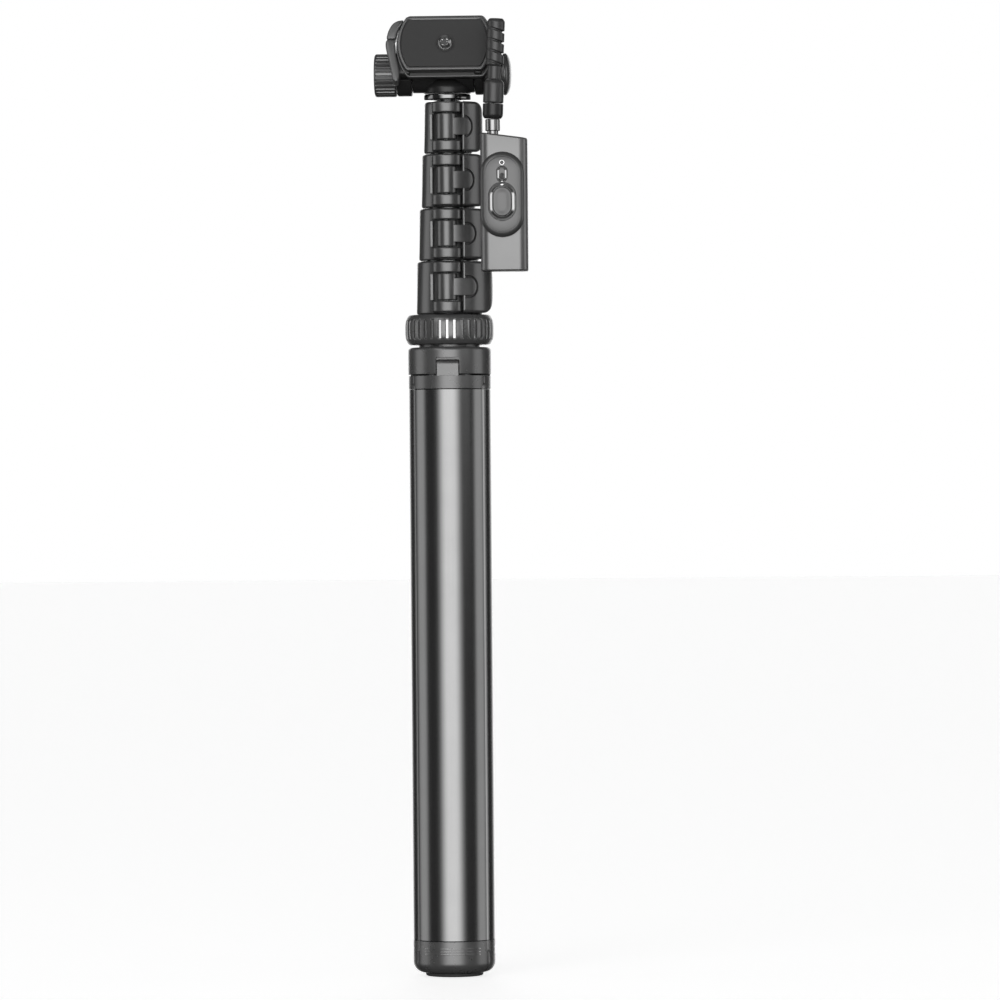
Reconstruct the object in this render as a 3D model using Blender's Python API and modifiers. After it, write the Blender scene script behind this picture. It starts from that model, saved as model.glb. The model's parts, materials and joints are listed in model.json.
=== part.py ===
"""A tripod selfie stick, folded: three legs close round a five-section telescopic column, and a
two-way head on top carries a quick-release plate and a handle that ends in a remote control.

Metres, +Z up. The column's axis is Z, the legs' rubber pads touch z = 0, and the front is -Y.
"""

import math

import bmesh
import bpy
from mathutils import Matrix, Vector

mm = 0.001
gap = 0.3 * mm  # left between pieces that touch

# Legs: three hollow 120 degree sectors
leg_count = 3
leg_radius = 21.4 * mm
leg_bore = 13.6 * mm
leg_wall = 1.4 * mm
leg_side_gap = 0.4 * mm
leg_edge_chamfer = 1.1 * mm
leg_tube_length = 287.0 * mm
plug_depth = 5.0 * mm

pad_reach = 15.0 * mm
pad_height = 1.6 * mm
pad_edge = 1.0 * mm
foot_height = 17.2 * mm
foot_fillet = 5.0 * mm

cap_height = 6.9 * mm
lug_width = 11.7 * mm
lug_top_radius = 2.6 * mm
lug_depth = 5.6 * mm
lug_heel = 1.8 * mm
lug_recess = 0.5 * mm
lug_rise = 5.5 * mm  # hinge pin above the cap
cap_to_hub = 0.7 * mm

# Hub, column clamp
hub_radius = 21.6 * mm
hub_height = 14.1 * mm
hub_fillet = 1.4 * mm
hub_bore_clearance = 0.3 * mm
notch_side_clearance = 0.3 * mm
notch_roof_clearance = 1.3 * mm
neck_radius = 15.9 * mm
neck_height = 8.0 * mm
leg_pin_radius = 1.5 * mm
leg_pin_length = 17.0 * mm
pin_clearance = 0.3 * mm

ring_radius = 23.0 * mm
ring_height = 15.6 * mm
ring_round = 3.4 * mm
ring_lift = 1.4 * mm
ring_lip = 1.2 * mm
collet_height = 5.8 * mm
collet_radius = 18.0 * mm
collet_slots = 6
collet_slot_width = 1.2 * mm

# Column: tube 1 is the outermost, tube 5 carries the head
tube_radii = [13.0 * mm, 11.5 * mm, 10.0 * mm, 8.5 * mm, 7.0 * mm]
tube_wall = 0.8 * mm
tube_clearance = 0.15 * mm
tube_foot_step = 4.0 * mm  # each tube's lower end stands this much above the one outside it
column_clear_of_foot = 6.0 * mm
end_plug_height = 4.0 * mm

# Flip locks, from the outermost (bottom) to the innermost (top)
lock_radii = [17.4 * mm, 15.9 * mm, 14.3 * mm, 12.8 * mm]
lock_heights = [27.5 * mm, 27.0 * mm, 27.9 * mm, 26.9 * mm]
lock_spacing = 0.5 * mm
lock_taper = 0.9 * mm
lock_edge = 0.9 * mm
lock_seat = 13.0 * mm  # how far the outer tube goes up into its lock
lock_split = 1.2 * mm
pin_ahead = 1.5 * mm  # hinge pin's axis ahead of the collar's wall
knuckle_radius = 5.2 * mm
knuckle_clearance = 0.4 * mm
boss_half_width = 7.4 * mm
boss_depth = 5.3 * mm
knuckle_share = 0.5  # middle knuckle's part of the lock's height
lever_stand_off = 0.9 * mm
lever_reach = 5.6 * mm
lever_corner = 5.0 * mm
lever_wrap = math.radians(104)
lever_end_clearance = 0.3 * mm
lock_pin_radius = 1.2 * mm

# Head
pan_disc_radius = 12.4 * mm
pan_disc_height = 3.4 * mm
pan_gap = 0.9 * mm
pan_neck_radius = 12.0 * mm
tilt_height = 10.1 * mm  # tilt axis above the pan disc
barrel_radius = 9.4 * mm
barrel_left = -17.9 * mm
barrel_right = 14.3 * mm
cheek_radius = 11.0 * mm
left_cheek_width = 7.8 * mm
right_cheek_width = 4.6 * mm
cheek_gap = 0.3 * mm
knob_width = 12.4 * mm
knob_radius = 11.2 * mm
knob_edge = 1.0 * mm
bolt_radius = 2.5 * mm
bolt_head_radius = 4.5 * mm
bolt_head_height = 2.0 * mm
end_cap_width = 4.3 * mm
end_cap_radius = 11.0 * mm

platform_tilt = math.radians(12)  # the plate leans back this much when folded
platform_rise = 11.2 * mm
platform_radius = 25.0 * mm
platform_half_height = 16.2 * mm
platform_drop = 1.3 * mm  # dish's middle below the plate's
platform_back = 11.6 * mm
platform_thickness = 6.9 * mm
plate_radius = 23.7 * mm
plate_half_height = 14.1 * mm
plate_thickness = 4.6 * mm
plate_drop_clearance = 0.3 * mm
plate_sink = 2.4 * mm  # into the platform
pad_inset = 1.3 * mm
pad_recess = 0.8 * mm
pad_proud = 0.2 * mm
screw_radius = 3.175 * mm  # 1/4 inch camera thread
screw_flange_radius = 6.0 * mm
screw_flange_height = 1.6 * mm
screw_stands_out = 5.0 * mm

plate_lever_width = 6.2 * mm
plate_lever_length = 21.0 * mm
lever_proud = 2.0 * mm  # beyond the platform's edge
lever_forward = 2.6 * mm  # beyond the platform's face
lever_above = 1.4 * mm  # lever's top above the platform's middle
lever_pin_inset = 1.5 * mm
lever_plate_clearance = 1.1 * mm  # lets the lever swing past the plate

# Handle
handle_x = 25.0 * mm
handle_y = -32.0 * mm
handle_lean = math.radians(2.5)
rod_radius = 2.5 * mm
sleeve_radius = 3.8 * mm
sleeve_length = 7.0 * mm
spigot_radius = 3.0 * mm
spigot_length = 8.5 * mm
collar_radius = 5.1 * mm
collar_height = 7.5 * mm
socket_height = 12.3 * mm
socket_drop = 17.3 * mm  # socket's lower end below the tilt axis
bracket_width = 9.4 * mm
arm_width = 7.0 * mm
arm_height = 7.0 * mm
arm_rise = 4.6 * mm  # arm's underside above the socket's
grip_radius = 4.0 * mm
grip_length = 31.3 * mm
grip_groove = 0.9 * mm
grip_grooves = 4
grip_pitch = 5.4 * mm

# Remote control
remote_width = 24.4 * mm
remote_depth = 13.0 * mm
remote_height = 72.1 * mm
remote_corner = 6.0 * mm
remote_slant = 3.4 * mm
remote_wall = 1.6 * mm
remote_offset = 5.7 * mm  # remote's middle to the right of the handle
bezel_width = 22.8 * mm
bezel_height = 44.1 * mm
bezel_proud = 3.0 * mm
bezel_above_middle = 3.4 * mm
shutter_width = 13.3 * mm
shutter_height = 18.7 * mm
shutter_ring_wall = 1.5 * mm
shutter_drop = 3.8 * mm  # shutter's middle below the bezel's
shutter_travel = 0.8 * mm
button_proud = 0.6 * mm
switch_width = 3.4 * mm
switch_height = 5.6 * mm
switch_rise = 10.3 * mm
switch_travel = 2.0 * mm
lens_radius = 1.2 * mm
lens_rise = 16.3 * mm
part_clearance = 0.3 * mm
board_width = 17.0 * mm
board_height = 46.0 * mm
board_thickness = 1.2 * mm
cell_radius = 8.0 * mm
cell_thickness = 3.2 * mm

fine = 48  # sides of a large round piece
round_sides = 36
medium = 24
coarse = 12

# Levels, from the floor up
foot_z = pad_height + gap
tube_z = foot_z + foot_height
cap_z = tube_z + leg_tube_length
cap_top = cap_z + cap_height
leg_pin_z = cap_top + lug_rise
leg_pin_y = -(leg_radius - lug_recess - lug_top_radius)
hub_z = cap_top + cap_to_hub
hub_top = hub_z + hub_height
ring_z = hub_top + ring_lift
ring_top = ring_z + ring_height
lock_z = [ring_top + gap]
for height in lock_heights[:-1]:
    lock_z.append(lock_z[-1] + height + lock_spacing)
lock_top = [z + height for z, height in zip(lock_z, lock_heights)]
disc_z = lock_top[-1] + pan_gap
disc_top = disc_z + pan_disc_height
tilt_z = disc_top + tilt_height
column_foot = tube_z + column_clear_of_foot

materials = {
    "satin_plastic": ((0.13, 0.13, 0.135), 0.45, 0.0),
    "dark_plastic": ((0.045, 0.045, 0.048), 0.5, 0.0),
    "anodised_metal": ((0.16, 0.16, 0.165), 0.25, 1.0),
    "grey_metal": ((0.30, 0.30, 0.31), 0.35, 1.0),
    "black_gloss": ((0.01, 0.01, 0.01), 0.08, 1.0),
    "chrome": ((0.85, 0.85, 0.86), 0.06, 1.0),
    "rubber": ((0.05, 0.05, 0.052), 0.8, 0.0),
    "remote_grey": ((0.33, 0.33, 0.335), 0.4, 0.0),
    "lens": ((0.85, 0.86, 0.88), 0.2, 0.0),
    "board": ((0.03, 0.16, 0.07), 0.5, 0.0),
    "steel": ((0.5, 0.5, 0.51), 0.3, 1.0),
}


# ---------------------------------------------------------------- tools


def clear_scene():
    for old in list(bpy.data.objects):
        bpy.data.objects.remove(old, do_unlink=True)


def new_collection(name):
    made = bpy.data.collections.new(name)
    bpy.context.scene.collection.children.link(made)
    return made


def make_material(name):
    colour, roughness, metallic = materials[name]
    made = bpy.data.materials.new(name)
    made.use_nodes = True
    shader = made.node_tree.nodes["Principled BSDF"]
    shader.inputs["Base Color"].default_value = (*colour, 1.0)
    shader.inputs["Roughness"].default_value = roughness
    shader.inputs["Metallic"].default_value = metallic
    return made


def use_object(mesh, name="work"):
    made = bpy.data.objects.new(name, mesh)
    cutters.objects.link(made)
    made.hide_render = True
    made.display_type = "WIRE"
    return made


def evaluated_mesh(obj):
    """The object's shape with its modifiers, welded, as a mesh; the object is removed."""
    bpy.context.view_layer.update()
    graph = bpy.context.evaluated_depsgraph_get()
    mesh = bpy.data.meshes.new_from_object(obj.evaluated_get(graph))
    mesh.transform(obj.matrix_world)
    work = bmesh.new()
    work.from_mesh(mesh)
    bmesh.ops.remove_doubles(work, verts=work.verts, dist=1e-7)
    work.to_mesh(mesh)
    work.free()
    bpy.data.objects.remove(obj, do_unlink=True)
    return mesh


def cylinder(radius, low, high, sides=medium, axis="Z", centre=(0, 0), top_radius=None):
    """A closed cylinder along an axis, from low to high; centre is its place on the other two."""
    work = bmesh.new()
    bmesh.ops.create_cone(
        work,
        cap_ends=True,
        segments=sides,
        radius1=radius,
        radius2=radius if top_radius is None else top_radius,
        depth=high - low,
    )
    mesh = bpy.data.meshes.new("cylinder")
    work.to_mesh(mesh)
    work.free()
    middle = (low + high) / 2
    if axis == "X":
        turn = Matrix.Rotation(math.pi / 2, 4, "Y")
        place = Matrix.Translation((middle, centre[0], centre[1]))
    elif axis == "Y":
        turn = Matrix.Rotation(-math.pi / 2, 4, "X")
        place = Matrix.Translation((centre[0], middle, centre[1]))
    else:
        turn = Matrix.Identity(4)
        place = Matrix.Translation((centre[0], centre[1], middle))
    mesh.transform(place @ turn)
    return mesh


def box(low, high):
    work = bmesh.new()
    bmesh.ops.create_cube(work, size=1.0)
    mesh = bpy.data.meshes.new("box")
    work.to_mesh(mesh)
    work.free()
    low, high = Vector(low), Vector(high)
    size = high - low
    mesh.transform(Matrix.Translation((low + high) / 2) @ Matrix.Diagonal((*size, 1.0)))
    return mesh


def prism(loops, low, high, axis="Z"):
    """A flat outline, with the loops inside it as holes, extruded from low to high along axis.
    Its points are (x, y) for Z, (x, z) for Y and (y, z) for X."""
    curve = bpy.data.curves.new("outline", "CURVE")
    curve.dimensions = "2D"
    curve.fill_mode = "BOTH"
    curve.extrude = (high - low) / 2
    for loop in loops:
        spline = curve.splines.new("POLY")
        spline.points.add(len(loop) - 1)
        for point, (across, up) in zip(spline.points, loop):
            point.co = (across, up, 0, 1)
        spline.use_cyclic_u = True
    made = bpy.data.objects.new("outline", curve)
    cutters.objects.link(made)
    mesh = evaluated_mesh(made)
    middle = (low + high) / 2
    if axis == "X":
        turn = Matrix(((0, 0, 1, middle), (1, 0, 0, 0), (0, 1, 0, 0), (0, 0, 0, 1)))
    elif axis == "Y":
        turn = Matrix(((1, 0, 0, 0), (0, 0, -1, middle), (0, 1, 0, 0), (0, 0, 0, 1)))
    else:
        turn = Matrix.Translation((0, 0, middle))
    mesh.transform(turn)
    return mesh


def turned(profile, sides=fine, closed=True):
    """A profile of (radius, height) points turned about Z. A closed profile is a ring's section;
    an open one starts and ends on the axis."""
    area = sum(
        a[0] * b[1] - b[0] * a[1] for a, b in zip(profile, profile[1:] + profile[:1])
    )
    points = profile[::-1] if area > 0 else profile  # down the outer side
    if not closed and points[0][1] < points[-1][1]:
        points = points[::-1]
    edges = [(i, i + 1) for i in range(len(points) - 1)]
    if closed:
        edges.append((len(points) - 1, 0))
    mesh = bpy.data.meshes.new("profile")
    mesh.from_pydata([(r, 0, z) for r, z in points], edges, [])
    made = use_object(mesh)
    screw = made.modifiers.new("turn", "SCREW")
    screw.steps = screw.render_steps = sides
    screw.use_merge_vertices = True
    screw.merge_threshold = 1e-6
    screw.use_smooth_shade = False
    return evaluated_mesh(made)


def boolean(mesh, operation, *others):
    """mesh after a union, difference or intersection with each of the others in turn."""
    main = use_object(mesh)
    tools = []
    for other in others:
        tool = use_object(other)
        tools.append(tool)
        step = main.modifiers.new(operation.lower(), "BOOLEAN")
        step.operation = operation
        step.solver = "EXACT"
        step.object = tool
    result = evaluated_mesh(main)
    for tool in tools:
        bpy.data.objects.remove(tool, do_unlink=True)
    return result


def cut(mesh, *others):
    return boolean(mesh, "DIFFERENCE", *others)


def join(mesh, *others):
    return boolean(mesh, "UNION", *others)


def common(mesh, *others):
    return boolean(mesh, "INTERSECT", *others)


def moved(mesh, matrix):
    mesh = mesh.copy()
    mesh.transform(matrix)
    return mesh


def add_part(name, mesh, material, pivot=(0, 0, 0), parent=None, sharp=30):
    """A visible part whose origin is at pivot, which is on its joint's axis where it has one."""
    mesh.transform(Matrix.Translation(-Vector(pivot)))
    mesh.name = name
    mesh.materials.clear()
    mesh.materials.append(made_materials[material])
    mesh.shade_smooth()
    mesh.set_sharp_from_angle(angle=math.radians(sharp))
    made = bpy.data.objects.new(name, mesh)
    parts.objects.link(made)
    if parent is None:
        made.location = pivot
    else:
        made.parent = parent
    return made


def add_axis(name, location, turn=0.0):
    """An empty on a joint's axis, turned about Z."""
    made = bpy.data.objects.new(name, None)
    made.empty_display_size = 5 * mm
    made.location = location
    made.rotation_euler = (0, 0, turn)
    parts.objects.link(made)
    return made


def polar(radius, angle):
    """A point at an angle from the front (-Y), positive towards +X."""
    return (radius * math.sin(angle), -radius * math.cos(angle))


def arc(radius, start, end, steps):
    return [polar(radius, start + (end - start) * i / steps) for i in range(steps + 1)]


def rounded_rectangle(width, height, radius, centre=(0, 0), steps=6):
    points = []
    for quarter, (sx, sy) in enumerate(((1, 1), (-1, 1), (-1, -1), (1, -1))):
        cx = centre[0] + sx * (width / 2 - radius)
        cy = centre[1] + sy * (height / 2 - radius)
        for i in range(steps + 1):
            angle = math.pi / 2 * (quarter + i / steps)
            points.append((cx + radius * math.cos(angle), cy + radius * math.sin(angle)))
    return points


def stadium(width, height, centre=(0, 0), steps=8):
    """Two half circles joined by straight sides, longer upwards."""
    return rounded_rectangle(width, height, width / 2 - 1e-5, centre, steps)


def clipped_disc(radius, half_height, centre=(0, 0), steps=12):
    """A disc whose top and bottom are cut off flat."""
    limit = math.asin(half_height / radius)
    points = []
    for side in (0, math.pi):
        for i in range(steps + 1):
            angle = side - limit + 2 * limit * i / steps
            points.append(
                (centre[0] + radius * math.cos(angle), centre[1] + radius * math.sin(angle))
            )
    return points


# ---------------------------------------------------------------- legs


def leg_outline(inner, wall=0.0):
    """A 120 degree sector centred on the front, its long outer edges chamfered. wall insets it."""
    outer = leg_radius - wall
    side = leg_side_gap / 2 + wall
    edge = leg_edge_chamfer

    def limit(radius):
        return math.pi / 3 - side / radius

    points = arc(outer, -limit(outer) + edge / outer, limit(outer) - edge / outer, 12)
    points.append(polar(outer - edge, limit(outer - edge)))
    if inner > 0:
        inside = inner + wall
        points += arc(inside, limit(inside), -limit(inside), 8)
    else:
        points.append((0.0, -side / math.sin(math.pi / 3)))
    points.append(polar(outer - edge, -limit(outer - edge)))
    return points


def leg_tube():
    return prism([leg_outline(leg_bore), leg_outline(leg_bore, leg_wall)], tube_z, cap_z - gap)


def leg_plug(low, high):
    """What goes into the end of the hollow leg."""
    return prism([leg_outline(leg_bore, leg_wall + gap)], low, high)


def leg_cap():
    """The cap's lug stands up into the hub's notch; its top is rounded about the hinge pin."""
    front = leg_pin_y - lug_top_radius
    steps = 8
    side = [(front, cap_z + gap)]
    for i in range(steps + 1):
        angle = math.pi - math.pi / 2 * i / steps
        side.append(
            (
                leg_pin_y + lug_top_radius * math.cos(angle),
                leg_pin_z + lug_top_radius * math.sin(angle),
            )
        )
    side += [
        (front + lug_depth - lug_heel, leg_pin_z + lug_top_radius),
        (front + lug_depth, leg_pin_z + lug_top_radius - lug_heel),
        (front + lug_depth, cap_z + gap),
    ]
    half = lug_width / 2
    lug = prism([side], -half, half, "X")
    hole = cylinder(
        leg_pin_radius + pin_clearance, -half - gap, half + gap, coarse, "X", (leg_pin_y, leg_pin_z)
    )
    body = prism([leg_outline(leg_bore)], cap_z, cap_top)
    return cut(join(body, leg_plug(cap_z - plug_depth, cap_z + gap), lug), hole)


def leg_foot():
    """The foot closes the leg's lower end and reaches in under the column."""
    steps = 6
    envelope = [(0.0, tube_z - gap), (leg_radius + gap, tube_z - gap)]
    centre_r, centre_z = leg_radius - foot_fillet, foot_z + foot_fillet
    for i in range(steps + 1):
        angle = -math.pi / 2 * i / steps
        envelope.append(
            (centre_r + foot_fillet * math.cos(angle), centre_z + foot_fillet * math.sin(angle))
        )
    envelope.append((0.0, foot_z))
    wedge = prism([leg_outline(0)], foot_z - gap, tube_z + gap)
    foot = common(wedge, turned(envelope, fine, closed=False))
    return join(foot, leg_plug(tube_z - 2 * gap, tube_z + plug_depth))


def leg_pad():
    """A sector of a flat rubber disc under the foot, its lower edge rounded."""
    edge = pad_edge
    disc = [
        (0.0, pad_height),
        (pad_reach, pad_height),
        (pad_reach, edge),
        (pad_reach - edge * 0.3, edge * 0.3),
        (pad_reach - edge, 0.0),
        (0.0, 0.0),
    ]
    wedge = prism([leg_outline(0)], -gap, pad_height + gap)
    return common(wedge, turned(disc, medium, closed=False))


def leg_pin():
    half = leg_pin_length / 2
    return cylinder(leg_pin_radius, -half, half, coarse, "X", (leg_pin_y, leg_pin_z))


def make_legs():
    pivot = (0, leg_pin_y, leg_pin_z)
    shapes = (
        ("tube", leg_tube(), "anodised_metal"),
        ("cap", leg_cap(), "satin_plastic"),
        ("foot", leg_foot(), "satin_plastic"),
        ("pad", leg_pad(), "rubber"),
        ("hinge_pin", leg_pin(), "steel"),
    )
    for index in range(leg_count):
        turn = 2 * math.pi * index / leg_count
        place = Matrix.Rotation(turn, 4, "Z") @ Vector(pivot)
        axis = add_axis(f"leg_{index + 1}_axis", place, turn)
        for part_name, mesh, material in shapes:
            add_part(f"leg_{index + 1}_{part_name}", mesh.copy(), material, pivot, axis)


# ---------------------------------------------------------------- hub and column clamp


def make_hub():
    bore = tube_radii[0] + hub_bore_clearance
    body = turned(
        [
            (bore, hub_z),
            (hub_radius, hub_z),
            (hub_radius, hub_top - hub_fillet),
            (hub_radius - hub_fillet * 0.3, hub_top - hub_fillet * 0.3),
            (hub_radius - hub_fillet, hub_top),
            (neck_radius, hub_top),
            (neck_radius, hub_top + neck_height),
            (bore, hub_top + neck_height),
        ]
    )
    half = lug_width / 2 + notch_side_clearance
    back = leg_pin_y - lug_top_radius + lug_depth + notch_side_clearance
    roof = leg_pin_z + lug_top_radius + notch_roof_clearance
    notch = box((-half, -hub_radius - 1 * mm, hub_z - 1 * mm), (half, back, roof))
    reach = leg_pin_length / 2 + pin_clearance
    hole = cylinder(
        leg_pin_radius + pin_clearance, -reach, reach, coarse, "X", (leg_pin_y, leg_pin_z)
    )
    tools = []
    for index in range(leg_count):
        turn = Matrix.Rotation(2 * math.pi * index / leg_count, 4, "Z")
        tools += [moved(notch, turn), moved(hole, turn)]
    add_part("leg_hub", cut(body, *tools), "satin_plastic")


def make_column_clamp():
    """A collet over the hub's neck, squeezed onto the column by a knurled ring."""
    collet_z = hub_top + neck_height + gap
    collet_top = collet_z + collet_height
    bore = tube_radii[0] + hub_bore_clearance
    collet = turned(
        [
            (bore, collet_z),
            (collet_radius - 1 * mm, collet_z),
            (collet_radius, collet_z + 2 * mm),
            (collet_radius, collet_top - 1 * mm),
            (collet_radius - 1 * mm, collet_top),
            (bore, collet_top),
        ],
        medium,
    )
    slots = []
    for index in range(collet_slots):
        slot = box(
            (-collet_slot_width / 2, 0, collet_z + 2 * mm),
            (collet_slot_width / 2, collet_radius + 1 * mm, collet_top + 1 * mm),
        )
        slots.append(moved(slot, Matrix.Rotation(2 * math.pi * index / collet_slots, 4, "Z")))
    add_part("column_collet", cut(collet, *slots), "dark_plastic")

    lip = tube_radii[0] + 2 * hub_bore_clearance
    inside = neck_radius + gap
    pocket = collet_radius + gap
    ring = turned(
        [
            (inside, ring_z),
            (ring_radius - ring_round, ring_z),
            (ring_radius - ring_round * 0.35, ring_z + ring_round * 0.3),
            (ring_radius, ring_z + ring_height * 0.4),
            (ring_radius, ring_z + ring_height * 0.6),
            (ring_radius - ring_round * 0.35, ring_top - ring_round * 0.3),
            (ring_radius - ring_round, ring_top),
            (lip, ring_top),
            (lip, collet_top + gap),
            (pocket, collet_top + gap),
            (pocket, collet_z - gap),
            (inside, collet_z - gap),
        ],
        72,
    )
    add_part("column_lock_ring", ring, "satin_plastic", (0, 0, ring_z))


# ---------------------------------------------------------------- column and locks


def tube_top(index):
    """A tube ends inside the lock fixed on it; the innermost ends under the pan disc."""
    if index < len(lock_z):
        return lock_z[index] + lock_seat
    return disc_z - gap


def make_tubes():
    for index, radius in enumerate(tube_radii):
        low = column_foot + tube_foot_step * index
        inner = radius - tube_wall
        high = tube_top(index)
        tube = turned([(inner, low), (radius, low), (radius, high), (inner, high)], round_sides)
        add_part(f"tube_{index + 1}", tube, "grey_metal")
    plug_low = column_foot - gap - end_plug_height
    bore = tube_radii[0] - tube_wall - gap
    plug = turned(
        [
            (0.0, plug_low),
            (tube_radii[0] + gap, plug_low),
            (tube_radii[0] + gap, column_foot - gap),
            (bore, column_foot - gap),
            (bore, column_foot + tube_foot_step - 2 * gap),
            (0.0, column_foot + tube_foot_step - 2 * gap),
        ],
        medium,
        closed=False,
    )
    add_part("column_end_plug", plug, "dark_plastic")


def boss_outline(pin_y):
    """The hinge boss: an ellipse ahead of the pin, straight back into the collar."""
    points = []
    for i in range(17):
        angle = math.pi + math.pi * i / 16
        points.append(
            (boss_half_width * math.cos(angle), pin_y + boss_depth * math.sin(angle))
        )
    points += [(boss_half_width, pin_y + 6 * mm), (-boss_half_width, pin_y + 6 * mm)]
    return points


def lock_levels(index):
    """The middle knuckle's lower and upper end."""
    low, high = lock_z[index], lock_top[index]
    half = (high - low) * knuckle_share / 2
    middle = (low + high) / 2
    return middle - half, middle + half


def knuckle_pocket(radius, pin_y):
    """Room for the lever's knuckle and the arm that leaves it, open to the front and right."""
    reach = knuckle_radius + knuckle_clearance
    round_collar = radius + lever_stand_off - gap
    meet_y = (round_collar**2 - reach**2 + pin_y**2) / (2 * pin_y)
    meet_x = math.sqrt(round_collar**2 - meet_y**2)
    start = math.atan2(meet_y - pin_y, meet_x)
    turn = math.asin(meet_x / round_collar)
    far = 2 * boss_depth
    points = [(0.0, pin_y - far)] + arc(round_collar, 1.0, turn, 6)
    points.insert(1, (points[1][0], pin_y - far))
    for i in range(1, 21):
        angle = start + (1.5 * math.pi - start) * i / 20
        points.append((reach * math.cos(angle), pin_y + reach * math.sin(angle)))
    return points


def lock_collar(index, pin_y):
    radius, low, high = lock_radii[index], lock_z[index], lock_top[index]
    mid_low, mid_high = lock_levels(index)
    outer_bore = tube_radii[index] + tube_clearance
    inner_bore = tube_radii[index + 1] + tube_clearance
    seat = low + lock_seat + gap
    top_radius = radius - lock_taper
    body = turned(
        [
            (0.0, high),
            (top_radius - lock_edge, high),
            (top_radius, high - lock_edge),
            (radius, low + lock_edge),
            (radius - lock_edge, low),
            (0.0, low),
        ],
        round_sides,
        closed=False,
    )
    boss = prism([boss_outline(pin_y)], low + lock_edge, high - lock_edge)
    bore = turned(
        [
            (0.0, high + 1 * mm),
            (inner_bore, high + 1 * mm),
            (inner_bore, seat),
            (outer_bore, seat),
            (outer_bore, low - 1 * mm),
            (0.0, low - 1 * mm),
        ],
        round_sides,
        closed=False,
    )
    pin_hole = cylinder(
        lock_pin_radius + pin_clearance, low + 2 * mm, high - 2 * mm, coarse, "Z", (0, pin_y)
    )
    split = box(
        (radius * 0.5, lock_split * 2, seat + 1 * mm), (2 * radius, lock_split * 3, high + 1 * mm)
    )
    tools = [bore, prism([knuckle_pocket(radius, pin_y)], mid_low, mid_high), pin_hole, split]
    return cut(join(body, boss), *tools)


def lock_lever(index, pin_y):
    radius, low, high = lock_radii[index], lock_z[index], lock_top[index]
    mid_low, mid_high = lock_levels(index)
    inner, outer = radius + lever_stand_off, radius + lever_reach
    start = math.asin((boss_half_width + 0.6 * mm) / inner)
    band = arc(outer, start, lever_wrap, 12) + arc(inner, lever_wrap, start, 12)
    arm = arc(outer, 0, start + 0.05, 5) + arc(inner, start + 0.05, 0, 5)
    rim = lever_end_clearance
    shield = prism([band], low + rim, high - rim)
    web = prism([arm], mid_low + rim, mid_high - rim)
    knuckle = cylinder(
        knuckle_radius, mid_low + rim, mid_high - rim, medium, "Z", (0, pin_y)
    )
    bore = cylinder(
        lock_pin_radius + pin_clearance, low, high, coarse, "Z", (0, pin_y)
    )
    width, height = 4 * outer, high - low - 2 * rim
    frame = prism(
        [rounded_rectangle(width, height, lever_corner, (outer - width / 2, (low + high) / 2))],
        -2 * outer,
        2 * outer,
        "Y",
    )
    return cut(common(join(shield, web, knuckle), frame), bore)


def make_locks():
    for index, radius in enumerate(lock_radii):
        pin_y = -(radius + pin_ahead)
        name = f"lock_{index + 1}"
        add_part(f"{name}_collar", lock_collar(index, pin_y), "satin_plastic")
        low = lock_z[index]
        add_part(
            f"{name}_lever", lock_lever(index, pin_y), "satin_plastic", (0, pin_y, low)
        )
        pin = cylinder(
            lock_pin_radius,
            low + 2 * mm + gap,
            lock_top[index] - 2 * mm - gap,
            coarse,
            "Z",
            (0, pin_y),
        )
        add_part(f"{name}_pin", pin, "steel", (0, pin_y, low))


# ---------------------------------------------------------------- head


def make_pan_base():
    edge = 0.7 * mm
    top = disc_top - gap
    disc = turned(
        [
            (0.0, top),
            (pan_disc_radius - edge, top),
            (pan_disc_radius, top - edge),
            (pan_disc_radius, disc_z + edge),
            (pan_disc_radius - edge, disc_z),
            (0.0, disc_z),
        ],
        round_sides,
        closed=False,
    )
    add_part("pan_disc", disc, "black_gloss")

    neck = cylinder(pan_neck_radius, disc_top, tilt_z, round_sides)
    barrel = cylinder(barrel_radius, barrel_left, barrel_right, round_sides, "X", (0, tilt_z))
    bore = cylinder(
        bolt_radius + pin_clearance,
        barrel_left - 1 * mm,
        barrel_right + 1 * mm,
        coarse,
        "X",
        (0, tilt_z),
    )
    trim = cylinder(
        platform_back - 2 * gap, barrel_left, barrel_right, round_sides, "X", (0, tilt_z)
    )
    upper = common(neck, join(trim, box((-1, -1, disc_top - 1), (1, 1, disc_top + 0.3 * tilt_height))))
    add_part("pan_base", cut(join(barrel, upper), bore), "dark_plastic")


def platform_frame():
    """Turns a shape made facing -Y about the tilt axis into the folded platform's place."""
    return Matrix.Translation((0, 0, tilt_z)) @ Matrix.Rotation(-platform_tilt, 4, "X")


def faced(loops, near, far):
    """An outline facing the front, from near to far ahead of the tilt axis."""
    return prism(loops, -far, -near, "Y")


def cheek(low, high, radius):
    """A side cheek: a round end on the tilt axis, running ahead to the platform."""
    rounded = cylinder(radius, low, high, round_sides, "X", (0, 0))
    ahead = box((low, -platform_back - 1 * mm, -radius * 0.55), (high, 0, radius))
    return join(rounded, ahead)


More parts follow.
